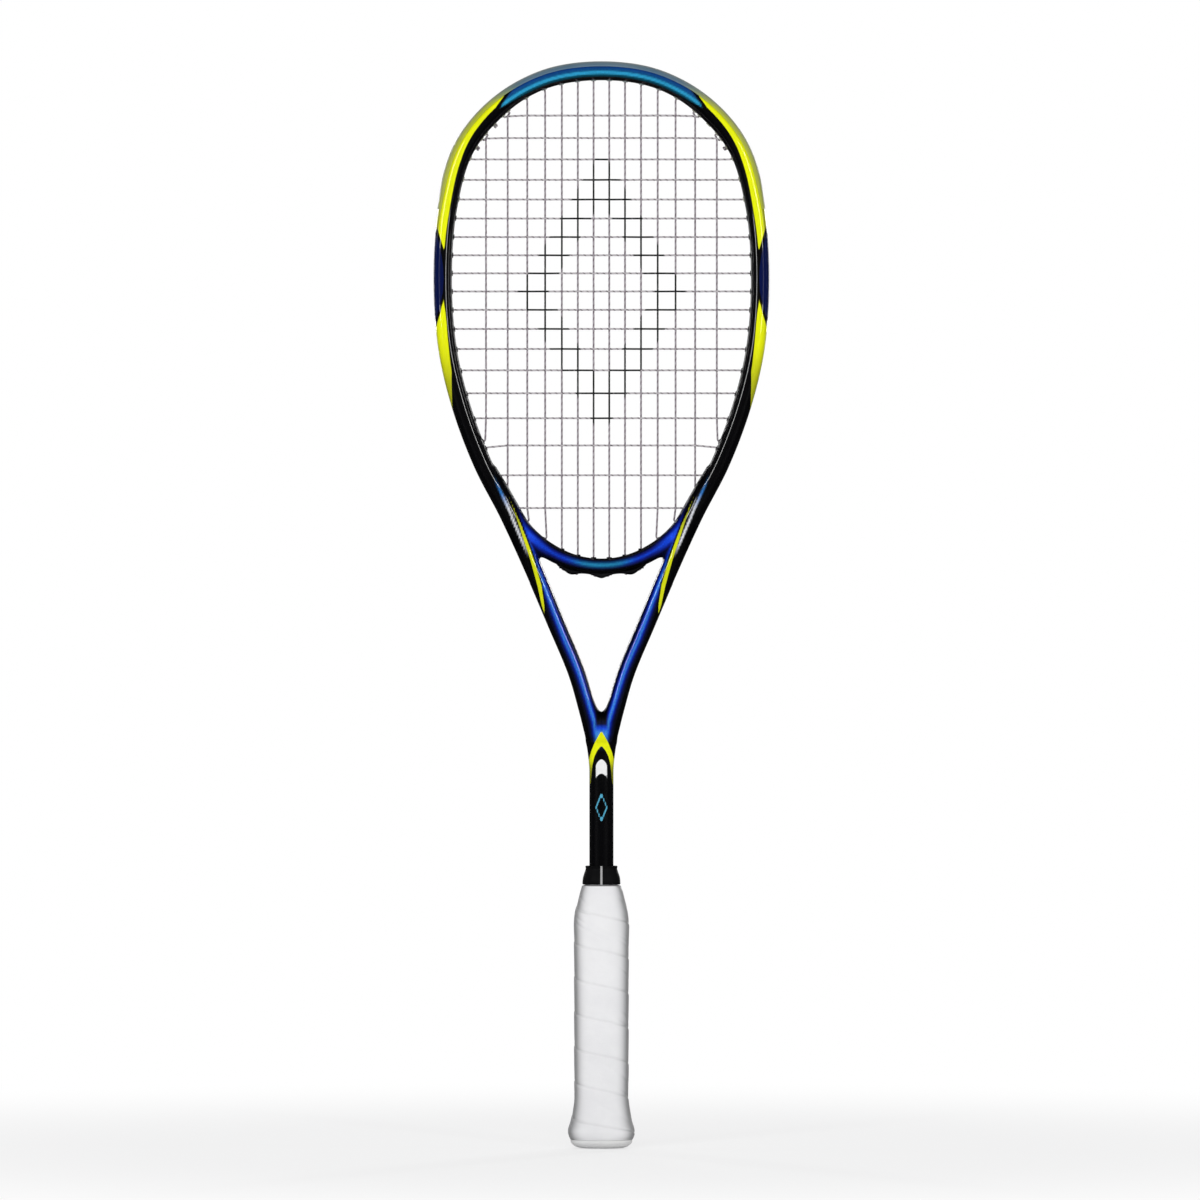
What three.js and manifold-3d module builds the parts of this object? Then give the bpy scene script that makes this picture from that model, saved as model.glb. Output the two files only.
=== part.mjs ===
// Squash racket, in millimetres. It stands on its butt: +Z runs from the butt to the crown of the
// head, X runs across the head, and the string bed lies in the plane y = 0 with its front towards -Y.
import * as THREE from 'three';
import { mergeVertices } from 'three/addons/utils/BufferGeometryUtils.js';
import Module from 'manifold-3d';

const wasm = await Module();
wasm.setup();

// Overall
const overallLength = 686;
const clearance = 0.3;

// Frame tube: the centre line of its right half, [x, z] from the crown down to the top of the shaft
const tubeHalfWidth = 5.9;
const tubeHalfDepth = 9.2;
const bumperProud = 7.2;
const crownZ = overallLength - bumperProud;
const halfLine = [
  [0, crownZ], [34, 674], [64, 657.5], [86, 631.5], [96.8, 595], [100.3, 552], [97.6, 507],
  [89.2, 470], [75.5, 433], [58.6, 400], [43.2, 366], [29.1, 332.5], [15.6, 300], [9.2, 278], [3.7, 256],
];
const crownSlimming = 1.4;
const hoopEndZ = 356;
const sideStartZ = 520;
const crownSteps = 18;
const sideSteps = 8;
const armWidthShare = 0.93;
const shaftTopZ = 268;
const shaftEndZ = 20;
const shaftHalfWidth = 7.6;
const shaftFlare = 4.5;
const flareStartZ = 238;
const flareSteps = 5;
const handleFlatness = 0.9;
const handleSquareness = 2.5;
const shaftWall = 1.5;
const throatFloorZ = 274.7;

// Throat bridge: heights of its upper and lower edges at distances from the middle
const bridgeTop = [[0, 372.1], [12, 373.4], [24, 377.5], [35, 384], [46, 394.3], [54, 407.5], [60, 419]];
const bridgeBottom = [[0, 363], [12.5, 363.9], [20, 365.6], [28.5, 369], [33, 370], [36, 368], [39, 364]];
const bridgeEnd = [[46, 368], [60, 400], [65, 416]];
const bridgeHalfDepth = 7.6;
const bridgeWall = 1.6;

// Strings
const stringRadius = 0.6;
const weaveDepth = 0.75;
const mainsPerSide = 7;
const firstMain = 4.95;
const mainGap = 9.95;
const mainGapGrowth = 0.15;
const bridgeMains = 3;
const crossCount = 19;
const topCrossZ = 651.9;
const crossGap = 11.4;
const crossGapMiddle = 7.5;
const topGapGrowth = 2.8;
const lowGapGrowth = 10.3;
const lowGapSpan = 10;

// Grommets: n is the distance outwards from the tube's centre line
const holeRadius = 2.05;
const barrelRadius = 1.75;
const boreRadius = 1.05;
const mouthDepth = 7.2;
const grooveFloor = 3.0;
const loopDepth = 4.9;
const laneOffset = 1.5;
const laneLead = 2.4;
const loopStep = 8;
const mouthMargin = 2.2;
const holeSpacing = 4.6;
const junctionExitZ = 372;
const throatStripThickness = 1.0;
const throatLoopDrop = 2.2;
const humpHeight = 2.6;
const humpReach = 5;
const bumperEndZ = 592;
const stripGap = 0.6;
const stripEndGap = 6;

// Handle profiles, [radius, z]
const palletProfile = [[0, 4.6], [15.4, 4.6], [15.4, 143], [13.8, 150.5], [11.9, 158.5], [10.2, 162.5], [0, 162.5]];
const palletWall = 2.2;
const palletRibZ = [4.6, 40, 80, 120, 162.5];
const capProfile = [
  [0, 0], [12.5, 0], [15.6, 1.1], [17.9, 4], [19.2, 8.2], [19.1, 11.5], [17.3, 18], [16.4, 24],
  [16.3, 27], [15.7, 27], [15.7, 4], [0, 4],
];
const gripProfile = [
  [16.2, 1.5], [18.6, 3.2], [20.6, 6.6], [21.3, 11], [19.4, 17.4], [18.2, 23.7], [17.3, 30], [17.3, 143.5],
  [15.8, 150.5], [13.9, 158.9], [12.4, 165.4], [10.3, 166], [10.3, 169], [9.1, 169], [9.1, 163.2],
  [10.5, 163], [12.3, 158.6], [14.2, 150.7], [15.75, 143.2], [15.75, 27.5], [16.75, 27.2], [16.85, 24],
  [17.7, 18], [19.5, 11.6], [19.6, 8.1], [18.2, 3.8],
];
const tapeProfile = [[10.6, 166.4], [11.2, 166.4], [11.2, 170.6], [10.6, 170.6]];
const collarProfile = [
  [11.5, 166.3], [12.0, 166.3], [11.8, 171], [10.0, 176.6], [10.2, 178], [8.0, 178], [8.0, 171.4], [11.4, 171.2],
];
const latheSides = 16;

const up = new THREE.Vector3(0, 0, 1);
const depthAxis = new THREE.Vector3(0, 1, 0);

// --- helpers ---

function tidy(geometry) {
  const bare = new THREE.BufferGeometry();
  bare.setAttribute('position', geometry.getAttribute('position').clone());
  if (geometry.index) bare.setIndex(geometry.index.clone());
  const merged = mergeVertices(bare, 1e-4);
  const position = merged.getAttribute('position');
  const corner = (i) => new THREE.Vector3().fromBufferAttribute(position, i);
  const faces = [];
  let volume = 0;
  for (let i = 0; i < merged.index.count; i += 3) {
    const [a, b, c] = [0, 1, 2].map((k) => merged.index.getX(i + k));
    if (a === b || b === c || c === a) continue;
    faces.push([a, b, c]);
    volume += corner(a).dot(corner(b).cross(corner(c)));
  }
  const outward = volume > 0 ? faces : faces.map(([a, b, c]) => [a, c, b]);
  merged.setIndex(outward.flat());
  return merged;
}

function toSolid(geometry) {
  const closed = tidy(geometry);
  const vertProperties = Float32Array.from(closed.getAttribute('position').array);
  const triVerts = Uint32Array.from(closed.index.array);
  return new wasm.Manifold(new wasm.Mesh({ numProp: 3, vertProperties, triVerts }));
}

function fromSolid(solid) {
  const mesh = solid.getMesh();
  const geometry = new THREE.BufferGeometry();
  geometry.setAttribute('position', new THREE.BufferAttribute(Float32Array.from(mesh.vertProperties), 3));
  geometry.setIndex([...mesh.triVerts]);
  return geometry;
}

function joined(geometries) {
  return geometries.map(toSolid).reduce((all, next) => all.add(next));
}

// A path that passes exactly through a list of points
class Route extends THREE.Curve {
  constructor(points, tangents) {
    super();
    this.points = points;
    this.tangents = tangents ?? points.map((p, i) => {
      const before = points[Math.max(i - 1, 0)];
      const after = points[Math.min(i + 1, points.length - 1)];
      const arriving = p.clone().sub(before).normalize();
      return arriving.add(after.clone().sub(p).normalize()).normalize();
    });
  }

  getPointAt(t) {
    return this.points[Math.round(t * (this.points.length - 1))].clone();
  }

  getTangentAt(t) {
    return this.tangents[Math.round(t * (this.points.length - 1))].clone();
  }
}

function sweep(shape, route) {
  return new THREE.ExtrudeGeometry(shape, { steps: route.points.length - 1, extrudePath: route });
}

function roundShape(radius, sides) {
  const points = Array.from({ length: sides }, (_, i) => {
    const angle = (2 * Math.PI * (i + 0.5)) / sides;
    return new THREE.Vector2(radius * Math.cos(angle), radius * Math.sin(angle));
  });
  return new THREE.Shape(points);
}

// A section given by its right half as [depth, outward] points, mirrored to the left
function mirroredSection(half, hollowHalf) {
  const ring = (points) => {
    const right = points.map(([y, n]) => new THREE.Vector2(y, -n));
    const left = points.map(([y, n]) => new THREE.Vector2(-y, -n)).reverse();
    return [...right, ...left];
  };
  const shape = new THREE.Shape(ring(half));
  if (hollowHalf) shape.holes.push(new THREE.Path(ring(hollowHalf)));
  return shape;
}

// --- the frame's centre line ---

const rightLine = halfLine.map(([x, z]) => new THREE.Vector3(x, 0, z));
const leftLine = rightLine.slice(1).map((p) => new THREE.Vector3(-p.x, 0, p.z)).reverse();
const framePath = new THREE.CatmullRomCurve3([...leftLine, ...rightLine], false, 'centripetal');
framePath.arcLengthDivisions = 1200;
const frameLength = framePath.getLength();

// The point, tangent and outward normal at a share u of the centre line
function station(u) {
  const point = framePath.getPointAt(u);
  const tangent = framePath.getTangentAt(u).setY(0).normalize();
  const normal = new THREE.Vector3().crossVectors(tangent, depthAxis);
  return { point, tangent, normal };
}

function offsetPoint(u, outward, depth = 0) {
  const { point, normal } = station(u);
  return point.addScaledVector(normal, outward).setY(depth);
}

// The share of the centre line, within a stretch of steady change, where a measure takes a value
function shareWhere(measure, value, from, to) {
  const rising = measure(to) > measure(from);
  let [low, high] = [from, to];
  for (let i = 0; i < 40; i++) {
    const middle = (low + high) / 2;
    if (measure(middle) < value === rising) low = middle;
    else high = middle;
  }
  return (low + high) / 2;
}

const heightAt = (u) => station(u).point.z;
const widestShare = shareWhere(heightAt, 552, 0.5, 1);
const hoopEndShare = shareWhere(heightAt, hoopEndZ, 0.5, 1);

// How the tube narrows from the head to the shaft
function narrowing(z) {
  const share = THREE.MathUtils.smoothstep(z, 300, 420);
  return {
    width: THREE.MathUtils.lerp(armWidthShare, 1, share),
    depth: THREE.MathUtils.lerp((shaftHalfWidth * handleFlatness) / tubeHalfDepth, 1, share),
  };
}

// How much thinner the tube's inner side is round the crown
function slimming(z) {
  return crownSlimming * THREE.MathUtils.smoothstep(z, 650, 674);
}

function spread(from, to, steps) {
  return Array.from({ length: steps + 1 }, (_, i) => from + ((to - from) * i) / steps);
}

// Stations of the hoop, closer together round the crown and shoulders than down the straighter sides
const sideShare = shareWhere(heightAt, sideStartZ, 0.5, 1);
const rightGrid = [...spread(0.5, sideShare, crownSteps), ...spread(sideShare, hoopEndShare, sideSteps).slice(1)];
const hoopGrid = [...rightGrid.slice(1).map((u) => 1 - u).reverse(), ...rightGrid];

// A tube of a constant section through stations of the centre line, narrowed as the frame is there
function tubeAlong(shape, shares) {
  const stations = shares.map(station);
  const route = new Route(stations.map((s) => s.point), stations.map((s) => s.tangent));
  const geometry = sweep(shape, route);
  const position = geometry.getAttribute('position');
  const vertex = new THREE.Vector3();
  for (let i = 0; i < position.count; i++) {
    vertex.fromBufferAttribute(position, i);
    const offsets = stations.map((s) => vertex.clone().sub(s.point));
    const misses = offsets.map((o, k) => Math.abs(o.dot(stations[k].tangent)) + o.length() * 1e-3);
    const nearest = misses.indexOf(Math.min(...misses));
    const { point, normal } = stations[nearest];
    const { width, depth } = narrowing(point.z);
    const offset = offsets[nearest].dot(normal) * width;
    const outward = offset < 0 ? offset * (1 - slimming(point.z) / tubeHalfWidth) : offset;
    const moved = point.clone().addScaledVector(normal, outward).setY(vertex.y * depth);
    position.setXYZ(i, moved.x, moved.y, moved.z);
  }
  return geometry;
}

const groovedHalf = [
  [3.6, grooveFloor], [4.4, tubeHalfWidth], [7.3, 4.6], [tubeHalfDepth, 1.6],
  [tubeHalfDepth, -1.6], [7.3, -4.6], [3.6, -tubeHalfWidth],
];
const groovedHollow = [[3.2, 1.8], [7.3, 2.6], [7.6, -1.6], [3.6, -4.5]];
const plainHalf = [
  [3.6, tubeHalfWidth], [7.3, 4.6], [tubeHalfDepth, 1.6],
  [tubeHalfDepth, -1.6], [7.3, -4.6], [3.6, -tubeHalfWidth],
];
const plainHollow = [[3.4, 4.4], [7.4, 1.6], [7.4, -1.6], [3.4, -4.4]];

// --- string places and the holes they pass through ---

function mainX(k) {
  let x = firstMain;
  for (let i = 0; i < k; i++) x += mainGap + mainGapGrowth * i * i;
  return x;
}

function crossZ(k) {
  let z = topCrossZ;
  for (let i = 0; i < k; i++) {
    const above = i < crossGapMiddle;
    const reach = above ? (crossGapMiddle - i) / crossGapMiddle : (i - crossGapMiddle) / lowGapSpan;
    z -= crossGap + (above ? topGapGrowth : lowGapGrowth) * reach * reach;
  }
  return z;
}

const mouth = (u) => offsetPoint(u, slimming(heightAt(u)) - mouthDepth);
const mouthX = (u) => mouth(u).x;
const mouthZ = (u) => mouth(u).z;

// Holes of the right half of the hoop, pushed apart where a main and a cross meet the same spot
function placeHoles() {
  const holes = [];
  for (let k = 0; k < mainsPerSide; k++) {
    holes.push({ name: `top${k}`, u: shareWhere(mouthX, mainX(k), 0.5, widestShare) });
    if (k > bridgeMains) holes.push({ name: `low${k}`, u: shareWhere(mouthX, mainX(k), widestShare, 0.97) });
  }
  for (let k = 0; k < crossCount; k++) {
    holes.push({ name: `cross${k}`, u: shareWhere(mouthZ, crossZ(k), 0.5, 0.97) });
  }
  const at = (name) => holes.find((h) => h.name === name).u;
  holes.push({ name: 'mainTie', u: (at('cross1') + at('cross2')) / 2 });
  holes.push({ name: 'upperCrossTie', u: (at('cross0') + at('top6')) / 2 });
  holes.push({ name: 'lowerCrossTie', u: (at('cross18') + at('low4')) / 2 });
  holes.sort((a, b) => a.u - b.u);
  for (let pass = 0; pass < 60; pass++) {
    for (let i = 1; i < holes.length; i++) {
      const lack = holeSpacing / frameLength - (holes[i].u - holes[i - 1].u);
      if (lack <= 0) continue;
      holes[i].u += lack / 2;
      holes[i - 1].u -= lack / 2;
    }
  }
  return holes;
}

const holes = placeHoles();
const holeShare = Object.fromEntries(holes.map((h) => [h.name, h.u]));
const webHole = `low${bridgeMains + 1}`;
const junctionShare = shareWhere(heightAt, junctionExitZ, 0.5, 1);

const edgeCurve = (edge) => new THREE.SplineCurve(edge.map(([x, z]) => new THREE.Vector2(x, z)));
const bridgeTopCurve = edgeCurve(bridgeTop);
const bridgeBottomCurve = edgeCurve(bridgeBottom);

function edgeHeight(curve, x) {
  return curve.getPoint(shareWhere((t) => curve.getPoint(t).x, Math.abs(x), 0, 1)).y;
}

function mirrored(point, side) {
  return new THREE.Vector3(point.x * side, point.y, point.z);
}

// A hole as the string's bend at its mouth inside the head and its bend outside the tube
function holeEnds(name, side) {
  const u = holeShare[name];
  if (name === webHole) return cornerEnds(bridgeMains + 1, u, side);
  return { inner: mirrored(mouth(u), side), outer: mirrored(offsetPoint(u, loopDepth), side), u };
}

// A main that goes in through the end of the bridge and out through the tube behind it
function cornerEnds(k, u, side) {
  const x = mainX(k);
  const outer = offsetPoint(u, loopDepth);
  const surface = new THREE.Vector3(x, 0, edgeHeight(bridgeTopCurve, x));
  const inward = surface.clone().sub(outer).normalize();
  const inner = surface.addScaledVector(inward, mouthDepth - tubeHalfWidth);
  return { inner: mirrored(inner, side), outer: mirrored(outer, side), u };
}

function bridgeEnds(k, side) {
  const x = mainX(k) * side;
  return {
    inner: new THREE.Vector3(x, 0, edgeHeight(bridgeTopCurve, x) + mouthDepth - tubeHalfWidth),
    outer: new THREE.Vector3(x, 0, edgeHeight(bridgeBottomCurve, x) - throatLoopDrop),
  };
}

function lowEnds(k, side) {
  if (k < bridgeMains) return bridgeEnds(k, side);
  return k === bridgeMains ? cornerEnds(k, junctionShare, side) : holeEnds(`low${k}`, side);
}

// A four-sided prism between two points, its flats facing along and across the tube
function prism(from, to, radius) {
  const axis = to.clone().sub(from);
  const geometry = new THREE.CylinderGeometry(radius, radius, axis.length(), 4);
  geometry.rotateY(Math.PI / 4);
  const along = axis.clone().normalize();
  const across = new THREE.Vector3().crossVectors(along, depthAxis);
  const middle = from.clone().add(to).multiplyScalar(0.5);
  geometry.applyMatrix4(new THREE.Matrix4().makeBasis(across, along, depthAxis.clone().negate()).setPosition(middle));
  return geometry;
}

function prismThrough({ inner, outer }, radius, before, after) {
  const along = outer.clone().sub(inner).normalize();
  const from = inner.clone().addScaledVector(along, -before);
  return prism(from, outer.clone().addScaledVector(along, after), radius);
}

const bothSides = [-1, 1];
const hoopHoles = bothSides.flatMap((side) => holes.map((h) => ({ ...holeEnds(h.name, side), side })));
const junctionHoles = bothSides.map((side) => ({ ...lowEnds(bridgeMains, side), side }));
const bridgeHoles = bothSides.flatMap((side) => [0, 1, 2].map((k) => bridgeEnds(k, side)));

// --- frame tubes ---

const holeCutters = joined([...hoopHoles, ...junctionHoles].map((h) => prismThrough(h, holeRadius, 2, 1.5)));

function headHoop() {
  const section = mirroredSection(groovedHalf, groovedHollow);
  const tube = toSolid(tubeAlong(section, hoopGrid));
  return fromSolid(tube.subtract(holeCutters));
}

function box(width, depth, height, x, y, z) {
  return new THREE.BoxGeometry(width, depth, height).translate(x, y, z);
}

const armGrid = spread(hoopEndShare + clearance / frameLength, 1, 10);

// The arms stop on the flat top of the shaft
function throatArm(side) {
  const section = mirroredSection(plainHalf, plainHollow);
  const belowArms = toSolid(box(80, 80, 40, 0, 0, shaftTopZ - 20));
  const arm = fromSolid(toSolid(tubeAlong(section, armGrid)).subtract(belowArms));
  return side > 0 ? arm : arm.scale(-1, 1, 1);
}

// The space that the tubes take, with clearance, for cutting what butts against them
function tubeSpace(shares) {
  const grown = plainHalf.map(([y, n]) => [y + Math.sign(y) * clearance, n + Math.sign(n) * clearance]);
  return toSolid(tubeAlong(mirroredSection(grown), shares));
}

function bridgeOutline(spread) {
  const half = (curve, sign) => curve.getPoints(8).map((p) => new THREE.Vector2(p.x, p.y - sign * spread));
  const top = half(bridgeTopCurve, 1);
  const bottom = half(bridgeBottomCurve, -1);
  const end = bridgeEnd.map(([x, z]) => new THREE.Vector2(x, z));
  const right = [...bottom, ...end, ...top.reverse()];
  const left = right.slice(1, -1).map((p) => new THREE.Vector2(-p.x, p.y)).reverse();
  return new THREE.Shape([...right, ...left]);
}

// A flat plate in the plane of the strings, with rounded edges
function plate(shape, halfDepth, roundness) {
  const geometry = new THREE.ExtrudeGeometry(shape, {
    depth: 2 * (halfDepth - roundness),
    bevelEnabled: roundness > 0,
    bevelThickness: roundness,
    bevelSize: roundness * 0.8,
    bevelOffset: -roundness * 0.8,
    bevelSegments: 1,
  });
  geometry.translate(0, 0, -(halfDepth - roundness));
  return geometry.rotateX(Math.PI / 2);
}

function throatBridge() {
  const body = toSolid(plate(bridgeOutline(0), bridgeHalfDepth, 2.5));
  const core = toSolid(plate(bridgeOutline(bridgeWall), bridgeHalfDepth - bridgeWall, 0));
  const cutters = bridgeHoles.map((h) => prismThrough(h, holeRadius, 2, 2));
  return fromSolid(body.subtract(core).subtract(tubeSpace(hoopGrid)).subtract(joined(cutters)).subtract(holeCutters));
}

// Handle sections are flattened circles, squared a little
function handleRing(radius, angle) {
  const [c, s] = [Math.cos(angle), Math.sin(angle)];
  const squared = Math.abs(c) ** handleSquareness + Math.abs(s) ** handleSquareness;
  const reach = radius / squared ** (1 / handleSquareness);
  return [reach * c, reach * s * handleFlatness];
}

function handleLathe(profile) {
  const points = profile.map(([r, z]) => new THREE.Vector2(r, z));
  const closesItself = profile[0][0] > 0;
  if (closesItself) points.push(points[0].clone());
  const geometry = new THREE.LatheGeometry(points, latheSides).rotateX(Math.PI / 2);
  const position = geometry.getAttribute('position');
  for (let i = 0; i < position.count; i++) {
    const [x, y] = [position.getX(i), position.getY(i)];
    const [newX, newY] = handleRing(Math.hypot(x, y), Math.atan2(y, x));
    position.setXYZ(i, newX, newY, position.getZ(i));
  }
  return geometry;
}

function shaftFlareAt(z) {
  const share = THREE.MathUtils.clamp((z - flareStartZ) / (shaftTopZ - flareStartZ), 0, 1);
  return 1 + (share ** 1.5 * shaftFlare) / shaftHalfWidth;
}

function shaftTube(outer, inner, top) {
  const heights = [shaftEndZ, ...spread(flareStartZ, top, flareSteps)];
  const profile = [...heights.map((z) => [outer, z]), ...heights.map((z) => [inner, z]).reverse()];
  const geometry = handleLathe(profile);
  const position = geometry.getAttribute('position');
  for (let i = 0; i < position.count; i++) {
    position.setX(i, position.getX(i) * shaftFlareAt(position.getZ(i)));
  }
  return geometry;
}

function shaft() {
  const tube = toSolid(shaftTube(shaftHalfWidth, shaftHalfWidth - shaftWall, shaftTopZ - clearance));
  const web = new THREE.Shape([
    new THREE.Vector2(-7.5, 256), new THREE.Vector2(7.5, 256), new THREE.Vector2(7, 281),
    new THREE.Vector2(3, 277.2), new THREE.Vector2(0, throatFloorZ), new THREE.Vector2(-3, 277.2),
    new THREE.Vector2(-7, 281),
  ]);
  const webSolid = toSolid(plate(web, 6.2, 0));
  const arms = tubeSpace(armGrid).add(tubeSpace(armGrid.map((u) => 1 - u)));
  const aboveShaft = toSolid(box(80, 80, 40, 0, 0, shaftTopZ - clearance + 20));
  return fromSolid(tube.add(webSolid.subtract(arms.intersect(aboveShaft))));
}

// --- grommets ---

const bumperHalf = [[3.3, 3.25], [4.15, 6.25], [7.35, 4.95], [7.75, 5.5], [4.9, 7.0], [3.4, bumperProud], [2.7, 4.05]];
const stripHalf = [[3.3, 3.25], [3.85, 5.5], [3.25, 5.5], [2.7, 4.05]];

// Barrels reach from the strip's base to just inside the head
function barrel(hole, radius, extra) {
  const along = hole.outer.clone().sub(hole.inner).normalize();
  const start = hole.inner.clone().addScaledVector(along, clearance - extra);
  const end = hole.outer.clone().addScaledVector(along, extra - (loopDepth - 3.7));
  return prism(start, end, radius);
}

function grommetStrip(half, shares, ownHoles) {
  const strip = toSolid(tubeAlong(mirroredSection(half), shares));
  const barrels = joined(ownHoles.map((h) => barrel(h, barrelRadius, 0)));
  const bores = joined(ownHoles.map((h) => barrel(h, boreRadius, 0.8)));
  return fromSolid(strip.add(barrels).subtract(bores));
}

const bumperGrid = hoopGrid.filter((u) => heightAt(u) > bumperEndZ);
const bumperEnd = bumperGrid.at(-1);
const isUnderBumper = (h) => h.u < bumperEnd;

function headBumper() {
  const own = hoopHoles.filter(isUnderBumper);
  return grommetStrip(bumperHalf, bumperGrid, own);
}

function sideStrip(side) {
  const own = [...hoopHoles.filter((h) => !isUnderBumper(h)), ...junctionHoles];
  const right = own.filter((h) => h.side > 0);
  const below = hoopGrid.filter((u) => u > bumperEnd).slice(0, -1);
  const shares = [bumperEnd + stripGap / frameLength, ...below, hoopEndShare - stripEndGap / frameLength];
  const strip = grommetStrip(stripHalf, shares, right);
  return side > 0 ? strip : strip.scale(-1, 1, 1);
}

function throatStrip() {
  const reach = mainX(bridgeMains - 1) + 4;
  const steps = 30;
  const loops = [0, (mainX(1) + mainX(2)) / 2];
  const hump = (x) => loops.reduce((sum, c) => sum + Math.exp(-(((Math.abs(x) - c) / humpReach) ** 2)), 0);
  const xs = Array.from({ length: steps + 1 }, (_, i) => -reach + (2 * reach * i) / steps);
  const underside = (x) => edgeHeight(bridgeBottomCurve, x) - clearance;
  const upper = xs.map((x) => new THREE.Vector2(x, underside(x)));
  const lower = xs.map((x) => new THREE.Vector2(x, underside(x) - throatStripThickness - humpHeight * hump(x)));
  const strip = toSolid(plate(new THREE.Shape([...lower, ...upper.reverse()]), 3, 0));
  const barrels = joined(bridgeHoles.map((h) => prism(
    h.inner.clone().addScaledVector(up, -clearance), h.outer.clone().addScaledVector(up, 1.4), barrelRadius)));
  const bores = joined(bridgeHoles.map((h) => prismThrough(h, boreRadius, 1, 3)));
  const channels = joined([[-1, 0, 1, 0], [1, 1, 1, 2], [-1, 1, -1, 2]].map(([sideA, a, sideB, b]) => {
    const ends = [bridgeEnds(a, sideA).outer, bridgeEnds(b, sideB).outer];
    const low = new THREE.Vector3(0, 0, -1.6);
    const lift = new THREE.Vector3(0, 0, stringRadius + 0.25);
    const outline = [ends[0], ends[1]].map((p) => p.clone().add(lift));
    const widen = Math.sign(ends[1].x - ends[0].x) * boreRadius;
    outline[0].x -= widen;
    outline[1].x += widen;
    const corners = [outline[0], outline[1], outline[1].clone().add(low).add(low), outline[0].clone().add(low).add(low)];
    return plate(new THREE.Shape(corners.map((p) => new THREE.Vector2(p.x, p.z))), boreRadius, 0);
  }));
  return fromSolid(strip.add(barrels).subtract(bores).subtract(channels));
}

// --- strings ---

const stringShape = roundShape(stringRadius, 4);

// Outside the tube a string leaves its hole, moves into its lane and comes back to the next hole
function outsideLoop(from, to, lane) {
  if (from.u === undefined) return [from.outer, to.outer];
  const side = Math.sign(from.outer.x);
  const lead = (Math.sign(to.u - from.u) * laneLead) / frameLength;
  const [start, end] = [from.u + lead, to.u - lead];
  const steps = Math.max(1, Math.ceil((Math.abs(end - start) * frameLength) / loopStep));
  const lanePoints = Array.from({ length: steps + 1 }, (_, i) =>
    mirrored(offsetPoint(start + ((end - start) * i) / steps, loopDepth, lane), side));
  return [from.outer, ...lanePoints, to.outer];
}

// A tail runs through its tie-off hole back into the head
function tail(from, tieName, side, lane) {
  const tie = holeEnds(tieName, side);
  return [...outsideLoop(from, tie, lane), tie.inner.clone().setY(0)];
}

function wovenSide(mainIndex, crossIndex) {
  return (mainIndex + crossIndex) % 2 === 0 ? 1 : -1;
}

const mainIndices = Array.from({ length: 2 * mainsPerSide }, (_, i) => i);
const mainSide = (i) => (i < mainsPerSide ? -1 : 1);
const mainRank = (i) => (i < mainsPerSide ? mainsPerSide - 1 - i : i - mainsPerSide);
const mainLineX = (i) => mainSide(i) * mainX(mainRank(i));

const runEnds = mainIndices.map((i) => ({
  top: holeEnds(`top${mainRank(i)}`, mainSide(i)),
  low: lowEnds(mainRank(i), mainSide(i)),
}));

// Where main i and cross j pass, kept a little away from the mouth of the main's hole
function crossing(i, j, depth) {
  const { top, low } = runEnds[i];
  const z = crossZ(j);
  if (z > top.inner.z + 1 || z < low.inner.z + mouthMargin) return [];
  return [new THREE.Vector3(mainLineX(i), depth * wovenSide(i, j), Math.min(z, top.inner.z - mouthMargin))];
}

const crossIndices = Array.from({ length: crossCount }, (_, j) => j);

function mainString() {
  const points = tail(runEnds[0].top, 'mainTie', -1, -laneOffset).reverse();
  runEnds.forEach(({ top, low }, i) => {
    const goesDown = i % 2 === 0;
    const downwards = [top.inner, ...crossIndices.flatMap((j) => crossing(i, j, weaveDepth)), low.inner];
    points.push(...(goesDown ? downwards : downwards.reverse()));
    const next = runEnds[i + 1];
    if (next) points.push(...outsideLoop(goesDown ? low : top, goesDown ? next.low : next.top, -laneOffset));
  });
  points.push(...tail(runEnds.at(-1).top, 'mainTie', 1, -laneOffset));
  return sweep(stringShape, new Route(points));
}

function crossString() {
  const crossEnds = (j) => ({ left: holeEnds(`cross${j}`, -1), right: holeEnds(`cross${j}`, 1) });
  const points = tail(crossEnds(0).left, 'upperCrossTie', -1, laneOffset).reverse();
  crossIndices.forEach((j) => {
    const goesRight = j % 2 === 0;
    const { left, right } = crossEnds(j);
    const rightwards = [left.inner, ...mainIndices.flatMap((i) => crossing(i, j, -weaveDepth)), right.inner];
    points.push(...(goesRight ? rightwards : rightwards.reverse()));
    if (j + 1 === crossCount) return;
    const next = crossEnds(j + 1);
    points.push(...outsideLoop(goesRight ? right : left, goesRight ? next.right : next.left, laneOffset));
  });
  points.push(...tail(crossEnds(crossCount - 1).right, 'lowerCrossTie', 1, laneOffset));
  return sweep(stringShape, new Route(points));
}

function knot(tieName, side) {
  const { inner, outer } = holeEnds(tieName, side);
  const inward = inner.clone().sub(outer).normalize();
  const radius = 1.5;
  const centre = inner.clone().addScaledVector(inward, radius + clearance);
  return new THREE.SphereGeometry(radius, 8, 5).translate(centre.x, centre.y, centre.z);
}

// --- handle ---

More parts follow.
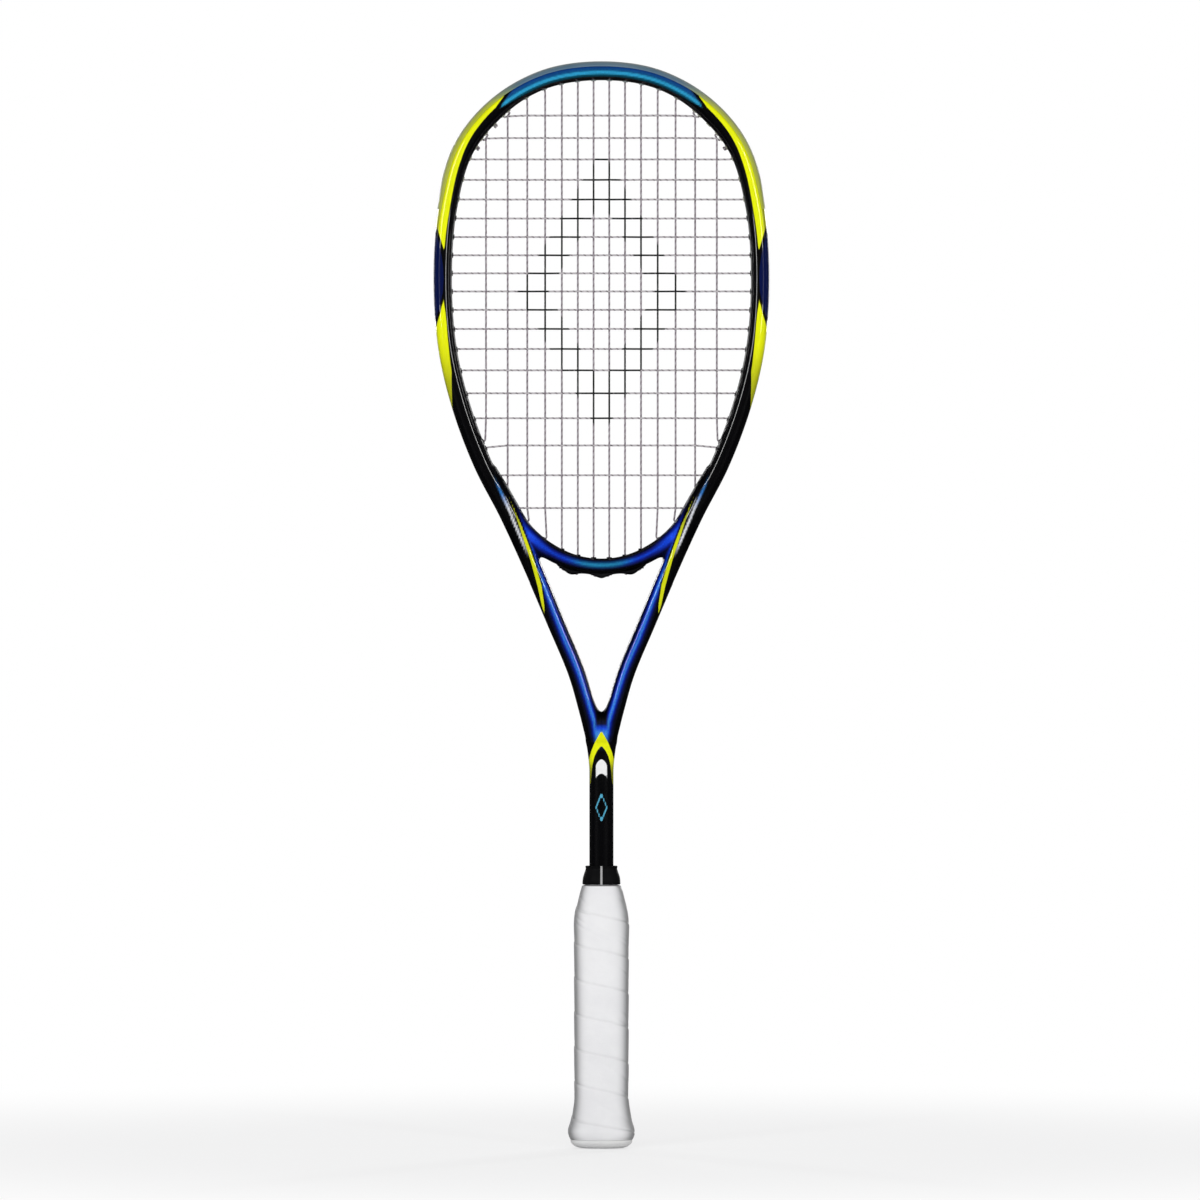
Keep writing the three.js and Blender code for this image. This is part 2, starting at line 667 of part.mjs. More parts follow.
// A shell with cross ribs, cut in half along the plane of the strings
function handlePallet(side) {
  const body = toSolid(handleLathe(palletProfile));
  const inside = toSolid(handleLathe(palletProfile.map(([r, z]) => [Math.max(r - palletWall, 0), z])));
  const bays = palletRibZ.slice(1).map((z, i) => {
    const low = palletRibZ[i] + palletWall / 2;
    const high = z - palletWall / 2;
    return toSolid(box(60, 60, high - low, 0, 0, (low + high) / 2)).intersect(inside);
  });
  const channel = toSolid(handleLathe([
    [0, 0], [shaftHalfWidth + clearance, 0], [shaftHalfWidth + clearance, 200], [0, 200]]));
  const half = toSolid(box(60, 40, 200, 0, side * (20 + clearance / 2), 90));
  const hollowed = bays.reduce((left, bay) => left.subtract(bay), body);
  return fromSolid(hollowed.subtract(channel).intersect(half));
}

const finishes = {
  black: { color: 0x0a0b10, roughness: 0.25, metalness: 0 },
  blue: { color: 0x1440b0, roughness: 0.22, metalness: 0.2 },
  yellow: { color: 0xe8f020, roughness: 0.3, metalness: 0 },
  clear: { color: 0x8f9a94, roughness: 0.45, metalness: 0 },
  rubber: { color: 0x141416, roughness: 0.7, metalness: 0 },
  white: { color: 0xe6e6e2, roughness: 0.75, metalness: 0 },
  string: { color: 0xa9a2ac, roughness: 0.4, metalness: 0 },
  foam: { color: 0xc9b98a, roughness: 0.85, metalness: 0 },
  steel: { color: 0xb9bcc0, roughness: 0.35, metalness: 1 },
};

const group = new THREE.Group();

function addPiece(name, geometry, finish) {
  const mesh = new THREE.Mesh(tidy(geometry), new THREE.MeshStandardMaterial(finishes[finish]));
  mesh.geometry.computeVertexNormals();
  mesh.name = name;
  group.add(mesh);
}

addPiece('head_hoop', headHoop(), 'black');
addPiece('right_throat_arm', throatArm(1), 'blue');
addPiece('left_throat_arm', throatArm(-1), 'blue');
addPiece('throat_bridge', throatBridge(), 'blue');
addPiece('shaft', shaft(), 'black');
addPiece('head_bumper_strip', headBumper(), 'clear');
addPiece('right_grommet_strip', sideStrip(1), 'black');
addPiece('left_grommet_strip', sideStrip(-1), 'black');
addPiece('throat_grommet_strip', throatStrip(), 'black');
addPiece('main_string', mainString(), 'string');
addPiece('cross_string', crossString(), 'string');
addPiece('left_main_knot', knot('mainTie', -1), 'string');
addPiece('right_main_knot', knot('mainTie', 1), 'string');
addPiece('upper_cross_knot', knot('upperCrossTie', -1), 'string');
addPiece('lower_cross_knot', knot('lowerCrossTie', 1), 'string');
addPiece('front_handle_pallet', handlePallet(-1), 'foam');
addPiece('rear_handle_pallet', handlePallet(1), 'foam');
addPiece('butt_cap', handleLathe(capProfile), 'rubber');
addPiece('grip', handleLathe(gripProfile), 'white');
addPiece('finishing_tape', handleLathe(tapeProfile), 'white');
addPiece('grip_collar', handleLathe(collarProfile), 'rubber');

export default group;
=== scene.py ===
import math

import bmesh
import bpy
import numpy as np
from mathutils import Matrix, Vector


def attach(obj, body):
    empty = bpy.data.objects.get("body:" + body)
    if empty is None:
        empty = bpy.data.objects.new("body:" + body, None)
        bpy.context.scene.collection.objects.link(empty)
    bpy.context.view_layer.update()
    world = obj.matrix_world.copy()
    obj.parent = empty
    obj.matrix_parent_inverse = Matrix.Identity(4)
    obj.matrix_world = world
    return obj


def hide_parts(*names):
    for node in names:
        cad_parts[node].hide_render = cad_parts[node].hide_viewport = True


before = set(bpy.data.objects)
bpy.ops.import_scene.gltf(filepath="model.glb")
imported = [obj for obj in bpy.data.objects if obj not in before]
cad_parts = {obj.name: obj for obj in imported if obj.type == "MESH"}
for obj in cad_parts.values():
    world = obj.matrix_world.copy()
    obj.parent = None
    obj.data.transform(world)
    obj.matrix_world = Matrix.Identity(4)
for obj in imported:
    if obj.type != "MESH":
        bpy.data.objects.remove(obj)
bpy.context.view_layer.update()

scene = bpy.context.scene
mm = 0.001

# Lengths below are in millimetres, as they would be on a drawing. X runs across the head, the front
# faces -Y and Z runs from the butt to the crown. Every mesh is scaled to metres as it is made.

print("camera and stage")

view = dict(lens=300, sensor=36, away=6.317, across=-0.0009, height=0.3459)
stage = dict(radius=30, clearFrom=0.25, clearTo=0.9, sink=0.0004, floorTint=(0.93, 0.93, 0.94))
room = dict(diffuse=0.2, glossy=0.02, through=0.6)
lamps = [
    dict(name="key", spot=(-0.4, -2.9, 2.1), size=(2.2, 1.2), power=40, mirrored=False),
    dict(name="leftBox", spot=(-1.5, -2.6, 1.0), size=(0.26, 1.1), power=15),
    dict(name="rightBox", spot=(1.4, -2.7, 1.0), size=(0.26, 1.1), power=15),
    dict(name="rear", spot=(0.4, 2.9, 2.1), size=(2.2, 1.2), power=40, mirrored=False),
    dict(name="rearLeftBox", spot=(-1.4, 2.6, 1.0), size=(0.26, 1.1), power=13),
    dict(name="rearRightBox", spot=(1.4, 2.6, 1.0), size=(0.26, 1.1), power=13),
    dict(name="sideBox", spot=(2.9, -0.4, 1.0), size=(0.14, 1.2), power=4),
    dict(name="otherSideBox", spot=(-2.9, 0.4, 1.0), size=(0.14, 1.2), power=4),
]
lookAt = np.array([0, 0, 0.36])


def place(name, data):
    thing = bpy.data.objects.new(name, data)
    scene.collection.objects.link(thing)
    return thing


def addCamera():
    lensData = bpy.data.cameras.new("camera")
    lensData.lens = view["lens"]
    lensData.sensor_width = view["sensor"]
    cam = place("camera", lensData)
    cam.location = (view["across"], -view["away"], view["height"])
    cam.rotation_euler = (math.pi / 2, 0, 0)
    scene.camera = cam


def addLamps():
    for lamp in lamps:
        lampData = bpy.data.lights.new(lamp["name"], "AREA")
        lampData.shape = "RECTANGLE"
        lampData.size, lampData.size_y = lamp["size"]
        lampData.energy = lamp["power"]
        thing = place(lamp["name"], lampData)
        thing.location = lamp["spot"]
        thing.rotation_euler = Vector(np.array(lamp["spot"]) - lookAt).to_track_quat("Z", "Y").to_euler()
        thing.visible_camera = False
        thing.visible_glossy = lamp.get("mirrored", True)


class Recipe:
    # Short calls for wiring the nodes of a material, a world or a geometry tree

    def __init__(self, tree):
        self.tree = tree

    def feed(self, socket, value):
        if isinstance(value, bpy.types.NodeSocket):
            self.tree.links.new(value, socket)
        else:
            socket.default_value = value

    def node(self, kind, inputs=None, **settings):
        made = self.tree.nodes.new(kind)
        for key, value in settings.items():
            setattr(made, key, value)
        for key, value in (inputs or {}).items():
            self.feed(made.inputs[key], value)
        return made

    def sum(self, operation, a, b=0.0, c=0.0):
        return self.node("ShaderNodeMath", {0: a, 1: b, 2: c}, operation=operation).outputs[0]

    def blend(self, share, a, b):
        return self.node("ShaderNodeMix", {0: share, 6: a, 7: b}, data_type="RGBA").outputs[2]

    def between(self, value, low, high, toLow=0.0, toHigh=1.0):
        inputs = {0: value, 1: low, 2: high, 3: toLow, 4: toHigh}
        return self.node("ShaderNodeMapRange", inputs, interpolation_type="SMOOTHSTEP").outputs[0]

    def mottle(self, field, low, high, start=0.3, end=0.7):
        return self.blend(self.between(field, start, end), (*low, 1), (*high, 1))

    def give(self, socket, value):
        self.feed(self.shader.inputs[socket], value)

    def attribute(self, name, output="Fac"):
        return self.node("ShaderNodeAttribute", attribute_name=name).outputs[output]

    def spot(self):
        return self.node("ShaderNodeTexCoord").outputs["Object"]

    def axes(self, vector):
        return self.node("ShaderNodeSeparateXYZ", {0: vector}).outputs

    def stretch(self, vector, scale):
        return self.node("ShaderNodeMapping", {"Vector": vector, "Scale": scale}).outputs[0]

    def noise(self, where, scale, detail=2.0, roughness=0.5):
        inputs = {"Vector": where, "Scale": scale, "Detail": detail, "Roughness": roughness}
        return self.node("ShaderNodeTexNoise", inputs).outputs["Fac"]

    def cells(self, where, scale):
        return self.node("ShaderNodeTexVoronoi", {"Vector": where, "Scale": scale}).outputs["Distance"]

    def bump(self, height, strength, distance, normal=None):
        made = self.node("ShaderNodeBump", {"Height": height, "Strength": strength, "Distance": distance})
        if normal is not None:
            self.feed(made.inputs["Normal"], normal)
        return made.outputs[0]


def newFinish(name, **sockets):
    finish = bpy.data.materials.new(name)
    finish.use_nodes = True
    recipe = Recipe(finish.node_tree)
    recipe.finish = finish
    recipe.shader = finish.node_tree.nodes["Principled BSDF"]
    for key, value in sockets.items():
        recipe.shader.inputs[key.replace("_", " ")].default_value = value
    return recipe


def floorFinish():
    r = newFinish("floorPaper", Roughness=0.9)
    tree = r.tree
    tint = (*stage["floorTint"], 1)
    spread = r.node("ShaderNodeVectorMath", {0: r.spot()}, operation="LENGTH").outputs["Value"]
    grain = r.noise(r.spot(), 90, 3)
    r.give("Base Color", r.blend(r.between(grain, 0.3, 0.7, 0, 0.04), tint, (0.8, 0.8, 0.8, 1)))
    glow = r.node("ShaderNodeEmission", {"Color": (1, 1, 1, 1), "Strength": 1.0}).outputs[0]
    far = r.between(spread, stage["clearFrom"], stage["clearTo"])
    seen = r.node("ShaderNodeLightPath").outputs["Is Camera Ray"]
    share = r.sum("MULTIPLY", r.sum("MULTIPLY_ADD", far, 0.35, 0.65), seen)
    both = r.node("ShaderNodeMixShader", {0: share, 1: r.shader.outputs[0], 2: glow}).outputs[0]
    tree.links.new(both, tree.nodes["Material Output"].inputs["Surface"])
    return r.finish


def addStage():
    bpy.ops.mesh.primitive_circle_add(vertices=96, radius=stage["radius"], fill_type="NGON")
    floor = bpy.context.object
    floor.name = "floor"
    floor.data.transform(Matrix.Translation((0, 0, -stage["sink"])))
    floor.data.materials.append(floorFinish())
    floor.visible_glossy = False
    world = bpy.data.worlds.new("room")
    world.use_nodes = True
    scene.world = world
    r = Recipe(world.node_tree)
    ray = r.node("ShaderNodeLightPath").outputs
    strength = r.sum("MULTIPLY_ADD", ray["Is Diffuse Ray"], room["diffuse"] - room["glossy"], room["glossy"])
    strength = r.sum("MULTIPLY_ADD", ray["Is Transmission Ray"], room["through"] - room["glossy"], strength)
    strength = r.sum("MAXIMUM", strength, ray["Is Camera Ray"])
    r.feed(world.node_tree.nodes["Background"].inputs["Strength"], strength)
    r.feed(world.node_tree.nodes["Background"].inputs["Color"], (1, 1, 1, 1))
    scene.view_settings.view_transform = "Standard"


addCamera()
addLamps()
addStage()

print("lines that the pieces follow")


def smoothLine(knots, perSpan):
    # A centripetal spline through the knots
    knots = [np.array(k, float) for k in knots]
    knots = [2 * knots[0] - knots[1], *knots, 2 * knots[-1] - knots[-2]]
    t = np.linspace(0, 1, perSpan, endpoint=False)[:, None]
    line = []
    for p0, p1, p2, p3 in zip(knots, knots[1:], knots[2:], knots[3:]):
        d0, d1, d2 = [np.linalg.norm(b - a) ** 0.5 for a, b in ((p0, p1), (p1, p2), (p2, p3))]
        leave = ((p1 - p0) / d0 - (p2 - p0) / (d0 + d1) + (p2 - p1) / d1) * d1
        arrive = ((p2 - p1) / d1 - (p3 - p1) / (d1 + d2) + (p3 - p2) / d2) * d1
        line.append((2 * t**3 - 3 * t**2 + 1) * p1 + (t**3 - 2 * t**2 + t) * leave
                    + (3 * t**2 - 2 * t**3) * p2 + (t**3 - t**2) * arrive)
    line.append(knots[-2][None])
    return np.vstack(line)


class Run:
    # A line in the plane of the strings, measured along its length

    def __init__(self, knots):
        mirrored = [(-x, z) for x, z in knots[:0:-1]]
        self.line = smoothLine([*mirrored, *knots], 80)
        self.far = np.concatenate([[0], np.cumsum(np.linalg.norm(np.diff(self.line, axis=0), axis=1))])
        self.length = self.far[-1]
        self.middle = self.length / 2

    def point(self, s):
        return np.stack([np.interp(s, self.far, self.line[:, k]) for k in (0, 1)], axis=-1)

    def at(self, s):
        s = np.asarray(s, float)
        step = 0.4
        low, high = np.clip(s - step, 0, None), np.clip(s + step, None, self.length)
        way = self.point(high) - self.point(low)
        way /= np.linalg.norm(way, axis=-1, keepdims=True)
        return self.point(s), way, np.stack([-way[..., 1], way[..., 0]], axis=-1)

    def nearest(self, x, z):
        marks = np.linspace(0, self.length, 320)
        spots = self.point(marks)
        picks = [np.argmin((spots[:, 0] - a[:, None]) ** 2 + (spots[:, 1] - b[:, None]) ** 2, axis=1)
                 for a, b in zip(np.array_split(x, 16), np.array_split(z, 16))]
        return marks[np.concatenate(picks)]

    def settle(self, s, x, z, rounds=2):
        for _ in range(rounds):
            point, way, _outward = self.at(s)
            s = np.clip(s + (x - point[:, 0]) * way[:, 0] + (z - point[:, 1]) * way[:, 1], 0, self.length)
        return s

    def where(self, measure, value, low, high):
        # The place between low and high where a steadily changing measure takes a value
        rising = measure(high) > measure(low)
        for _ in range(36):
            half = (low + high) / 2
            if (measure(half) < value) == rising:
                low = half
            else:
                high = half
        return (low + high) / 2


frameLine = [
    (0, 678.8), (34, 674), (64, 657.5), (86, 631.5), (96.8, 595), (100.3, 552), (97.6, 507),
    (89.2, 470), (75.5, 433), (58.6, 400), (43.2, 366), (29.1, 332.5), (15.6, 300), (9.2, 278), (3.7, 256),
]
bridgeLine = [
    (0, 367.5), (12.9, 368.8), (26, 373.1), (38, 380.1), (49.6, 391.1), (58.2, 404.6), (64.8, 416),
    (70.6, 428),
]
tube = dict(halfWidth=5.9, halfDepth=9.2, power=2.8, armWidth=0.93, armDepth=0.743,
            narrowFrom=300, narrowTo=420, slimming=1.4, slimFrom=650, slimTo=674, widestAt=552)
frameRun = Run(frameLine)
bridgeRun = Run(bridgeLine)
crown = frameRun.middle
bottom = frameRun.length


def smoothstep(value, low, high):
    t = np.clip((np.asarray(value, float) - low) / (high - low), 0, 1)
    return t * t * (3 - 2 * t)


def narrowing(z):
    # The tube's width and depth as shares of those at the head
    share = smoothstep(z, tube["narrowFrom"], tube["narrowTo"])
    width = tube["armWidth"] + (1 - tube["armWidth"]) * share
    return width, tube["armDepth"] + (1 - tube["armDepth"]) * share


def slimming(z):
    # How much thinner the inner side of the tube is round the crown
    return tube["slimming"] * smoothstep(z, tube["slimFrom"], tube["slimTo"])


def heightAt(s):
    return frameRun.point(s)[1]


def mouthAt(s):
    return slimming(heightAt(s)) - hole["mouth"]


def besideHead(s, outward, depth=0.0):
    point, _way, normal = frameRun.at(s)
    x, z = point + normal * outward
    return np.array([x, depth, z])


widest = frameRun.where(heightAt, tube["widestAt"], crown, bottom)


def downTo(z):
    return frameRun.where(heightAt, z, crown, bottom)


def outTo(x):
    return frameRun.where(lambda s: frameRun.point(s)[0], x, crown, widest)


# Places of the strings and their holes

stringing = dict(radius=0.6, weave=0.75, perSide=7, first=4.95, gap=9.95, gapGrowth=0.15, bridgeMains=3,
                 crosses=19, topCross=651.9, crossGap=11.4, topGrowth=2.8, lowGrowth=10.3, middle=7.5,
                 reach=10)
hole = dict(mouth=7.2, loop=4.9, lane=1.5, lead=2.4, spacing=4.6, exitZ=372, throatDrop=2.2, margin=2.2,
            latest=0.97, rounds=60)
bridgeTop = [(0, 372.1), (12, 373.4), (24, 377.5), (35, 384), (46, 394.3), (54, 407.5), (60, 419)]
bridgeBottom = [(0, 363), (12.5, 363.9), (20, 365.6), (28.5, 369), (33, 370), (36, 368), (39, 364)]
perSide, crosses = stringing["perSide"], stringing["crosses"]


def mainX(k):
    return stringing["first"] + sum(stringing["gap"] + stringing["gapGrowth"] * i * i for i in range(k))


def crossZ(k):
    # The gaps between crosses widen from the middle of the head both ways
    z, middle = stringing["topCross"], stringing["middle"]
    for i in range(k):
        above = i < middle
        share = (middle - i) / middle if above else (i - middle) / stringing["reach"]
        z -= stringing["crossGap"] + stringing["topGrowth" if above else "lowGrowth"] * share**2
    return z


def edgeHeight(edge, x):
    line = smoothLine(edge, 30)
    return float(np.interp(abs(x), line[:, 0], line[:, 1]))


def placeHoles():
    # Holes of the right half, pushed apart where a main and a cross would share one
    def mouthX(s):
        return besideHead(s, mouthAt(s))[0]

    def mouthZ(s):
        return besideHead(s, mouthAt(s))[2]

    late = bottom * hole["latest"]
    spots = {}
    for k in range(perSide):
        spots[f"top{k}"] = frameRun.where(mouthX, mainX(k), crown, widest)
        if k > stringing["bridgeMains"]:
            spots[f"low{k}"] = frameRun.where(mouthX, mainX(k), widest, late)
    for k in range(crosses):
        spots[f"cross{k}"] = frameRun.where(mouthZ, crossZ(k), crown, late)
    spots["mainTie"] = (spots["cross1"] + spots["cross2"]) / 2
    spots["upperCrossTie"] = (spots["cross0"] + spots["top6"]) / 2
    spots["lowerCrossTie"] = (spots["cross18"] + spots["low4"]) / 2
    names = sorted(spots, key=spots.get)
    for _ in range(hole["rounds"]):
        for before, after in zip(names, names[1:]):
            lack = hole["spacing"] - (spots[after] - spots[before])
            if lack > 0:
                spots[after] += lack / 2
                spots[before] -= lack / 2
    return spots


holeAt = placeHoles()
junction = downTo(hole["exitZ"])


def flip(point, side):
    return np.array([point[0] * side, point[1], point[2]])


def cornerEnds(k, s, side):
    # A main that goes in through the end of the bridge and out through the tube behind it
    outer = besideHead(s, hole["loop"])
    surface = np.array([mainX(k), 0, edgeHeight(bridgeTop, mainX(k))])
    inward = (surface - outer) / np.linalg.norm(surface - outer)
    inner = surface + inward * (hole["mouth"] - tube["halfWidth"])
    return dict(inner=flip(inner, side), outer=flip(outer, side), s=s, side=side)


def holeEnds(name, side):
    s = holeAt[name]
    if name == "low4":
        return cornerEnds(4, s, side)
    return dict(inner=flip(besideHead(s, mouthAt(s)), side), outer=flip(besideHead(s, hole["loop"]), side),
                s=s, side=side)


def bridgeEnds(k, side):
    x = mainX(k) * side
    inner = np.array([x, 0, edgeHeight(bridgeTop, x) + hole["mouth"] - tube["halfWidth"]])
    outer = np.array([x, 0, edgeHeight(bridgeBottom, x) - hole["throatDrop"]])
    return dict(inner=inner, outer=outer, s=None, side=side)


def lowEnds(k, side):
    if k < stringing["bridgeMains"]:
        return bridgeEnds(k, side)
    return cornerEnds(k, junction, side) if k == stringing["bridgeMains"] else holeEnds(f"low{k}", side)


def meshFrom(name, points, faces, edges=()):
    mesh = bpy.data.meshes.new(name)
    mesh.from_pydata((np.asarray(points) * mm).tolist(), list(edges), faces)
    mesh.update()
    return place(name, mesh)


def skin(name, rings, caps=True):
    # Rings of points joined in turn into one closed skin
    rings = np.asarray(rings, float)
    rows, columns = rings.shape[:2]
    index = np.arange(rows * columns).reshape(rows, columns)
    beside = np.roll(index, -1, axis=1)
    faces = np.stack([index[:-1], beside[:-1], beside[1:], index[1:]], axis=-1).reshape(-1, 4).tolist()
    if caps:
        faces += [index[0, ::-1].tolist(), index[-1].tolist()]
    return meshFrom(name, rings.reshape(-1, 3), faces)


def outwardFaces(thing, sharpAngle=None):
    mesh = thing.data
    work = bmesh.new()
    work.from_mesh(mesh)
    bmesh.ops.remove_doubles(work, verts=work.verts, dist=1e-7)
    bmesh.ops.recalc_face_normals(work, faces=work.faces)
    work.to_mesh(mesh)
    work.free()
    mesh.polygons.foreach_set("use_smooth", [True] * len(mesh.polygons))
    if sharpAngle:
        mesh.set_sharp_from_angle(angle=math.radians(sharpAngle))
    mesh.update()
    return thing


def settled(thing):
    # The object with its modifiers worked into a plain mesh
    bpy.context.view_layer.update()
    graph = bpy.context.evaluated_depsgraph_get()
    mesh = bpy.data.meshes.new_from_object(thing.evaluated_get(graph), depsgraph=graph)
    thing.modifiers.clear()
    thing.data = mesh
    return thing


def merged(name, things):
    work = bmesh.new()
    finishes = []
    for thing in things:
        before = len(work.faces)
        work.from_mesh(thing.data)
        work.faces.ensure_lookup_table()
        slots = []
        for finish in thing.data.materials:
            if finish not in finishes:
                finishes.append(finish)
            slots.append(finishes.index(finish))
        for face in work.faces[before:]:
            face.material_index = slots[face.material_index] if slots else 0
    mesh = bpy.data.meshes.new(name)
    work.to_mesh(mesh)
    work.free()
    for finish in finishes:
        mesh.materials.append(finish)
    for thing in things:
        bpy.data.objects.remove(thing)
    return place(name, mesh)


def grown(thing, tree, **sizes):
    # Runs a geometry tree on the object and keeps the plain result
    modifier = thing.modifiers.new("grow", "NODES")
    modifier.node_group = tree
    for item in tree.interface.items_tree:
        if item.item_type == "SOCKET" and item.in_out == "INPUT" and item.name in sizes:
            modifier[item.identifier] = sizes[item.name]
    return settled(thing)


def newTree(name, numbers):
    tree = bpy.data.node_groups.new(name, "GeometryNodeTree")
    tree.interface.new_socket("Geometry", in_out="INPUT", socket_type="NodeSocketGeometry")
    for label, default in numbers.items():
        kind = "NodeSocketInt" if isinstance(default, int) else "NodeSocketFloat"
        socket = tree.interface.new_socket(label, in_out="INPUT", socket_type=kind)
        socket.default_value = default
    tree.interface.new_socket("Finish", in_out="INPUT", socket_type="NodeSocketMaterial")
    tree.interface.new_socket("Geometry", in_out="OUTPUT", socket_type="NodeSocketGeometry")
    r = Recipe(tree)
    r.given = r.node("NodeGroupInput").outputs
    return r


def endTree(r, geometry):
    whole = r.node("GeometryNodeRealizeInstances", {0: geometry}).outputs[0]
    smooth = r.node("GeometryNodeSetShadeSmooth", {0: whole}).outputs[0]
    coated = r.node("GeometryNodeSetMaterial", {0: smooth, "Material": r.given["Finish"]}).outputs[0]
    r.tree.links.new(coated, r.node("NodeGroupOutput").inputs[0])
    return r.tree


print("painted frame moulding")

moulding = dict(voxel=1.0, bridgeWidth=4.6, bridgeGrowth=0.6, bridgeDepth=7.6, bridgeFillet=5.0,
                bridgeFade=0.5, bridgeFadeFrom=58, bridgeFadeTo=70, growthReach=30,
                shaftWidth=7.6, shaftDepth=6.84, shaftPower=2.5, flare=4.5, flareFrom=238, shaftTop=268,
                shaftFoot=20, shaftFillet=1.2, closeFrom=256, closing=0.42,
                crotchStart=1.5, crotch=11.2, crotchFrom=255, crotchTo=275, armsApart=320, otherArm=8.0,
                groove=3.6, grooveFloor=3.0, grooveEnd=358.5, grooveReach=9.5, grooveStops=300,
                shadeStep=0.8, shadeMatch=0.45)
rough = dict(sides=24, bridgeWidth=4.9, webWidth=6.5, webDepth=6.0, webFrom=251, webShy=0.4,
             hoopStops=260, bridgeStops=60, shaftStops=80, webStops=16)
fitting = dict(rounds=5, evened=3, evenShare=0.6, leastSlope=0.2, longestMove=1.5)


def superDistance(across, depth, halfWidth, halfDepth, power):
    reach = np.hypot(across, depth) + 1e-9
    level = (np.abs(across / halfWidth) ** power + np.abs(depth / halfDepth) ** power) ** (1 / power)
    return reach * (1 - 1 / np.maximum(level, 1e-6))


def smoothUnion(a, b, fillet):
    near = np.clip(fillet - np.abs(a - b), 0, None) / fillet
    return np.minimum(a, b) - near * near * fillet / 4


def offsetFrom(run, s, x, z):
    point, way, normal = run.at(s)
    dx, dz = x - point[:, 0], z - point[:, 1]
    return dx * way[:, 0] + dz * way[:, 1], dx * normal[:, 0] + dz * normal[:, 1], point[:, 1]


def tubeDistance(s, x, y, z):
    along, outward, height = offsetFrom(frameRun, s, x, z)
    width, depth = narrowing(height)
    halfWidth = tube["halfWidth"] * width - slimming(height) * (outward < 0)
    return superDistance(outward, y, halfWidth, tube["halfDepth"] * depth, tube["power"]) + np.abs(along)


def bridgeDistance(s, x, y, z):
    along, outward, _height = offsetFrom(bridgeRun, s, x, z)
    fade = smoothstep(np.abs(x), moulding["bridgeFadeFrom"], moulding["bridgeFadeTo"])
    fade = 1 - moulding["bridgeFade"] * fade
    growth = np.minimum(np.abs(x) / moulding["growthReach"], 1) ** 2
    width = (moulding["bridgeWidth"] + moulding["bridgeGrowth"] * growth) * fade
    return superDistance(outward, y, width, moulding["bridgeDepth"] * fade, tube["power"]) + np.abs(along)


def flareAt(z):
    share = np.clip((z - moulding["flareFrom"]) / (moulding["shaftTop"] - moulding["flareFrom"]), 0, 1)
    return 1 + share**1.5 * moulding["flare"] / moulding["shaftWidth"]


class Moulding:
    # How far points are from the surface of the one-piece tube frame

    def __init__(self, x, z):
        side = np.abs(x)
        self.own = frameRun.settle(frameRun.nearest(side, z), side, z)
        self.bridge = bridgeRun.settle(bridgeRun.nearest(side, z), side, z)
        self.other = frameRun.settle(np.full(len(x), bottom - moulding["otherArm"]), -side, z, 6)

    def parts(self, x, y, z):
        side = np.abs(x)
        own = tubeDistance(frameRun.settle(self.own, side, z, 1), side, y, z)
        other = tubeDistance(frameRun.settle(self.other, -side, z, 1), -side, y, z)
        bridge = bridgeDistance(bridgeRun.settle(self.bridge, side, z, 1), side, y, z)
        width, depth, power = moulding["shaftWidth"], moulding["shaftDepth"], moulding["shaftPower"]
        shaft = superDistance(side / flareAt(z), y, width, depth, power)
        shaft = shaft + np.clip(z - moulding["closeFrom"], 0, None) ** 1.5 * moulding["closing"] / 3
        return own, other, bridge, np.maximum(shaft, moulding["shaftFoot"] - z)

    def distance(self, points):
        own, other, bridge, shaft = self.parts(*points.T)
        z = points[:, 2]
        rise = smoothstep(z, moulding["crotchFrom"], moulding["crotchTo"])
        fillet = moulding["crotchStart"] + (moulding["crotch"] - moulding["crotchStart"]) * rise
        whole = np.where(z < moulding["armsApart"], smoothUnion(own, other, fillet), own)
        whole = smoothUnion(whole, shaft, moulding["shaftFillet"])
        return smoothUnion(whole, bridge, moulding["bridgeFillet"])

    def slope(self, points, step=0.05):
        rises = []
        for axis in np.eye(3):
            rises.append(self.distance(points + step * axis) - self.distance(points - step * axis))
        return np.stack(rises, axis=1) / (2 * step)


def sectionRing(halfWidth, halfDepth, power, sides):
    angles = np.linspace(0, 2 * math.pi, sides, endpoint=False)
    c, s = np.cos(angles), np.sin(angles)
    reach = (np.abs(c) ** power + np.abs(s) ** power) ** (-1 / power)
    return np.stack([c * reach * halfWidth, s * reach * halfDepth], axis=1)


def alongRun(run, stops, section, narrowed=True):
    # One ring of the section, given as outward and depth, at each stop
    rings = []
    for s in stops:
        point, _way, normal = run.at(s)
        width, depth = narrowing(point[1]) if narrowed else (1, 1)
        flat = point + normal * (section[:, :1] * width)
        rings.append(np.stack([flat[:, 0], section[:, 1] * depth, flat[:, 1]], axis=1))
    return rings


